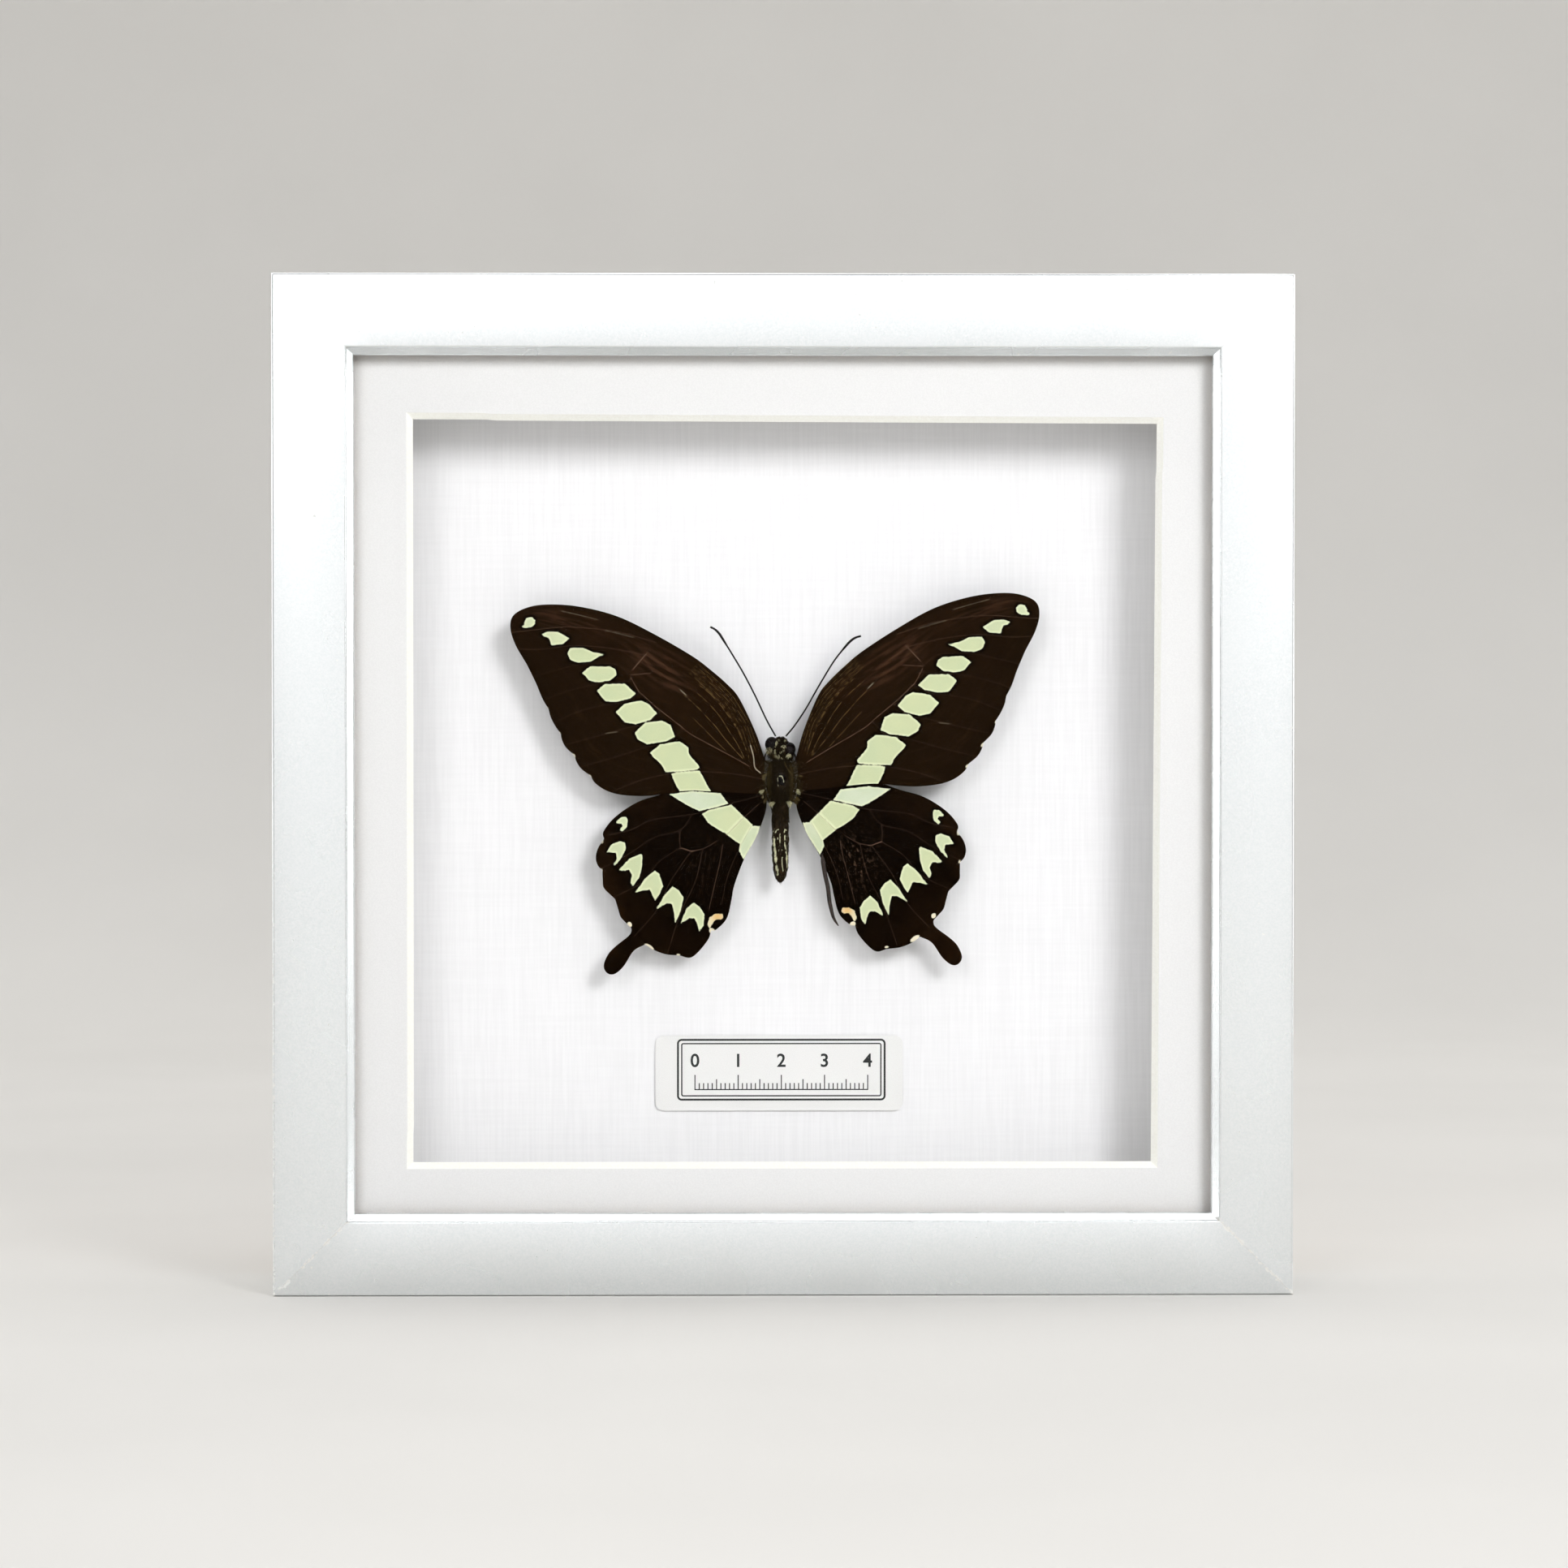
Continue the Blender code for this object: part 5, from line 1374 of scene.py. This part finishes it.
def add_antennae(horn):
    """A tube with a bead at each of its joints, whose last fifth thickens into a club."""
    for side, places in ANTENNAE.items():
        line = full_curve([(x, 0.0, z) for x, z in places], 10)
        total = lengths_along(line)[-1]
        line = points_at(line, np.linspace(0, total, 240))
        part = np.linspace(0, 1, len(line))
        club = np.clip((part - 0.8) / 0.2, 0, 1)
        radius = ANTENNA_RADIUS + ANTENNA_CLUB * np.sin(math.pi * np.minimum(club, 0.85)) ** 0.8
        radius = radius * (1 + 0.09 * np.cos(part * ANTENNA_JOINTS * math.tau))
        points, faces = ring_body(tube(line, radius))
        add_piece(f"antenna_jointed_{side}", points + SPECIMEN, faces, [horn], [f"antenna_{side}"])


def node_box(name):
    """A CAD node's lowest and highest corner in mm."""
    return [np.array(corner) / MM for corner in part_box(name)]


def paint(names, finish):
    """Gives a finish to CAD nodes, whose shape stays."""
    for name in names:
        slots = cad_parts[name].data.materials
        slots.clear()
        slots.append(finish)


def add_stage():
    """Floor and backdrop in one sheet: flat, then a quarter circle, then upright, carried sideways."""
    radius = SHEET_TURN_RADIUS
    angle = np.linspace(0, math.pi / 2, 24)
    turn = np.stack([SHEET_TURN_AT + radius * np.sin(angle), radius * (1 - np.cos(angle))], 1)
    profile = np.vstack([(-SHEET_FRONT, 0.0), turn, (SHEET_TURN_AT + radius, radius + SHEET_RISE)])
    x = np.array([-SHEET_HALF_WIDTH, SHEET_HALF_WIDTH])[:, None]
    y, z = (np.broadcast_to(profile[:, axis], (2, len(profile))) for axis in (0, 1))
    points = np.stack([np.broadcast_to(x, y.shape), y, z - SHEET_BELOW], -1).reshape(-1, 3)
    mesh = bpy.data.meshes.new("seamless_sheet")
    mesh.from_pydata((points * MM).tolist(), [], grid_quads(2, len(profile))[:, ::-1].tolist())
    mesh.materials.append(studio_paper())
    mesh.shade_smooth()
    sheet = bpy.data.objects.new("seamless_sheet", mesh)
    bpy.context.scene.collection.objects.link(sheet)


def add_holder(name, data, place, turn):
    """An object that holds a lamp or a camera."""
    holder = bpy.data.objects.new(name, data)
    holder.location = place
    holder.rotation_euler = turn
    bpy.context.scene.collection.objects.link(holder)
    return holder


def add_soft_box(name, place, watts):
    light = bpy.data.lights.new(name, "AREA")
    light.shape = "SQUARE"
    light.size = SOFT_BOX_SIZE
    light.energy = watts
    aim = Vector((0, 0, FRAME_HALF * MM)) - Vector(place)
    add_holder(name, light, place, aim.to_track_quat("-Z", "Y").to_euler())


def add_camera_and_light():
    """Two soft boxes in front, above and to either side, the right one stronger, in a white tent that
    is brightest straight ahead and at its sides, where the silver mirrors it."""
    camera = bpy.data.cameras.new("camera")
    camera.lens = CAMERA_LENS
    camera.clip_start = CAMERA_NEAREST
    turn = (math.pi / 2 + CAMERA_PITCH, 0, -CAMERA_YAW)
    bpy.context.scene.camera = add_holder("camera", camera, CAMERA_PLACE, turn)
    for name, (place, watts) in SOFT_BOXES.items():
        add_soft_box(name, place, watts)
    world = bpy.data.worlds.new("light_tent")
    world.use_nodes = True
    tree = world.node_tree
    away = node(tree, "SeparateXYZ", {0: node(tree, "TexCoord").outputs["Object"]}).outputs
    light = ramp(tree, away[1], -0.97, -0.87, TENT_FRONT, TENT_ROUND)
    for axis in (0, 2):
        panel = ramp(tree, maths(tree, "ABSOLUTE", away[axis]), 0.9, 0.985, 0.0, TENT_PANELS)
        light = maths(tree, "ADD", light, panel)
    tree.links.new(light, tree.nodes["Background"].inputs["Strength"])
    tree.nodes["Background"].inputs["Color"].default_value = (1.0, 1.0, 1.0, 1.0)
    bpy.context.scene.world = world
    bpy.context.scene.view_settings.view_transform = "Standard"


FRAME_HALF = (cad_box[1][0] - cad_box[0][0]) / 2 / MM
FRAME_FRONT = cad_box[0][1] / MM
FRAME_DEPTH = (cad_box[1][1] - cad_box[0][1]) / MM
SIGHT_WIDTH = node_box("rail_bottom")[1][2]

add_camera_and_light()
add_stage()
add_rails(silver_foil(), raw_moulding("raw_pine_level", (0.12, 1.0, 1.0)),
          raw_moulding("raw_pine_upright", (1.0, 1.0, 0.12)))
add_mount_board(mount_face(), mount_core())
paint(["glass_pane"], clear_glass())
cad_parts["glass_pane"].visible_shadow = False
paint(["backing_board"], linen_paper())
paint(["label_card"], label_paper())
foam = foam_core()
paint([f"spacer_{side}" for side in ("bottom", "top", "left", "right")] + ["foam_pad"], foam)
paint(["back_panel"], hardboard())
zinc = zinc_steel()
paint([f"tab_{side}_{end}" for side in ("bottom", "left", "top", "right") for end in "ab"], zinc)
paint(["hanger_nail_left", "hanger_nail_right"], zinc)
paint(["sawtooth_hanger"], brass_plate())
ink = printing_ink()
add_digits(ink, add_print(ink))
add_wings()
add_folded_strip(split_membrane())
skin, dull_skin, fur = insect_skin("glossy_cuticle", 0.12), insect_skin("dull_cuticle", 0.05), insect_hair()
add_head(dull_skin, compound_eye(), fur)
add_thorax(skin, fur)
add_root_hair(fur)
add_abdomen(dull_skin, fur)
add_antennae(antenna_horn())
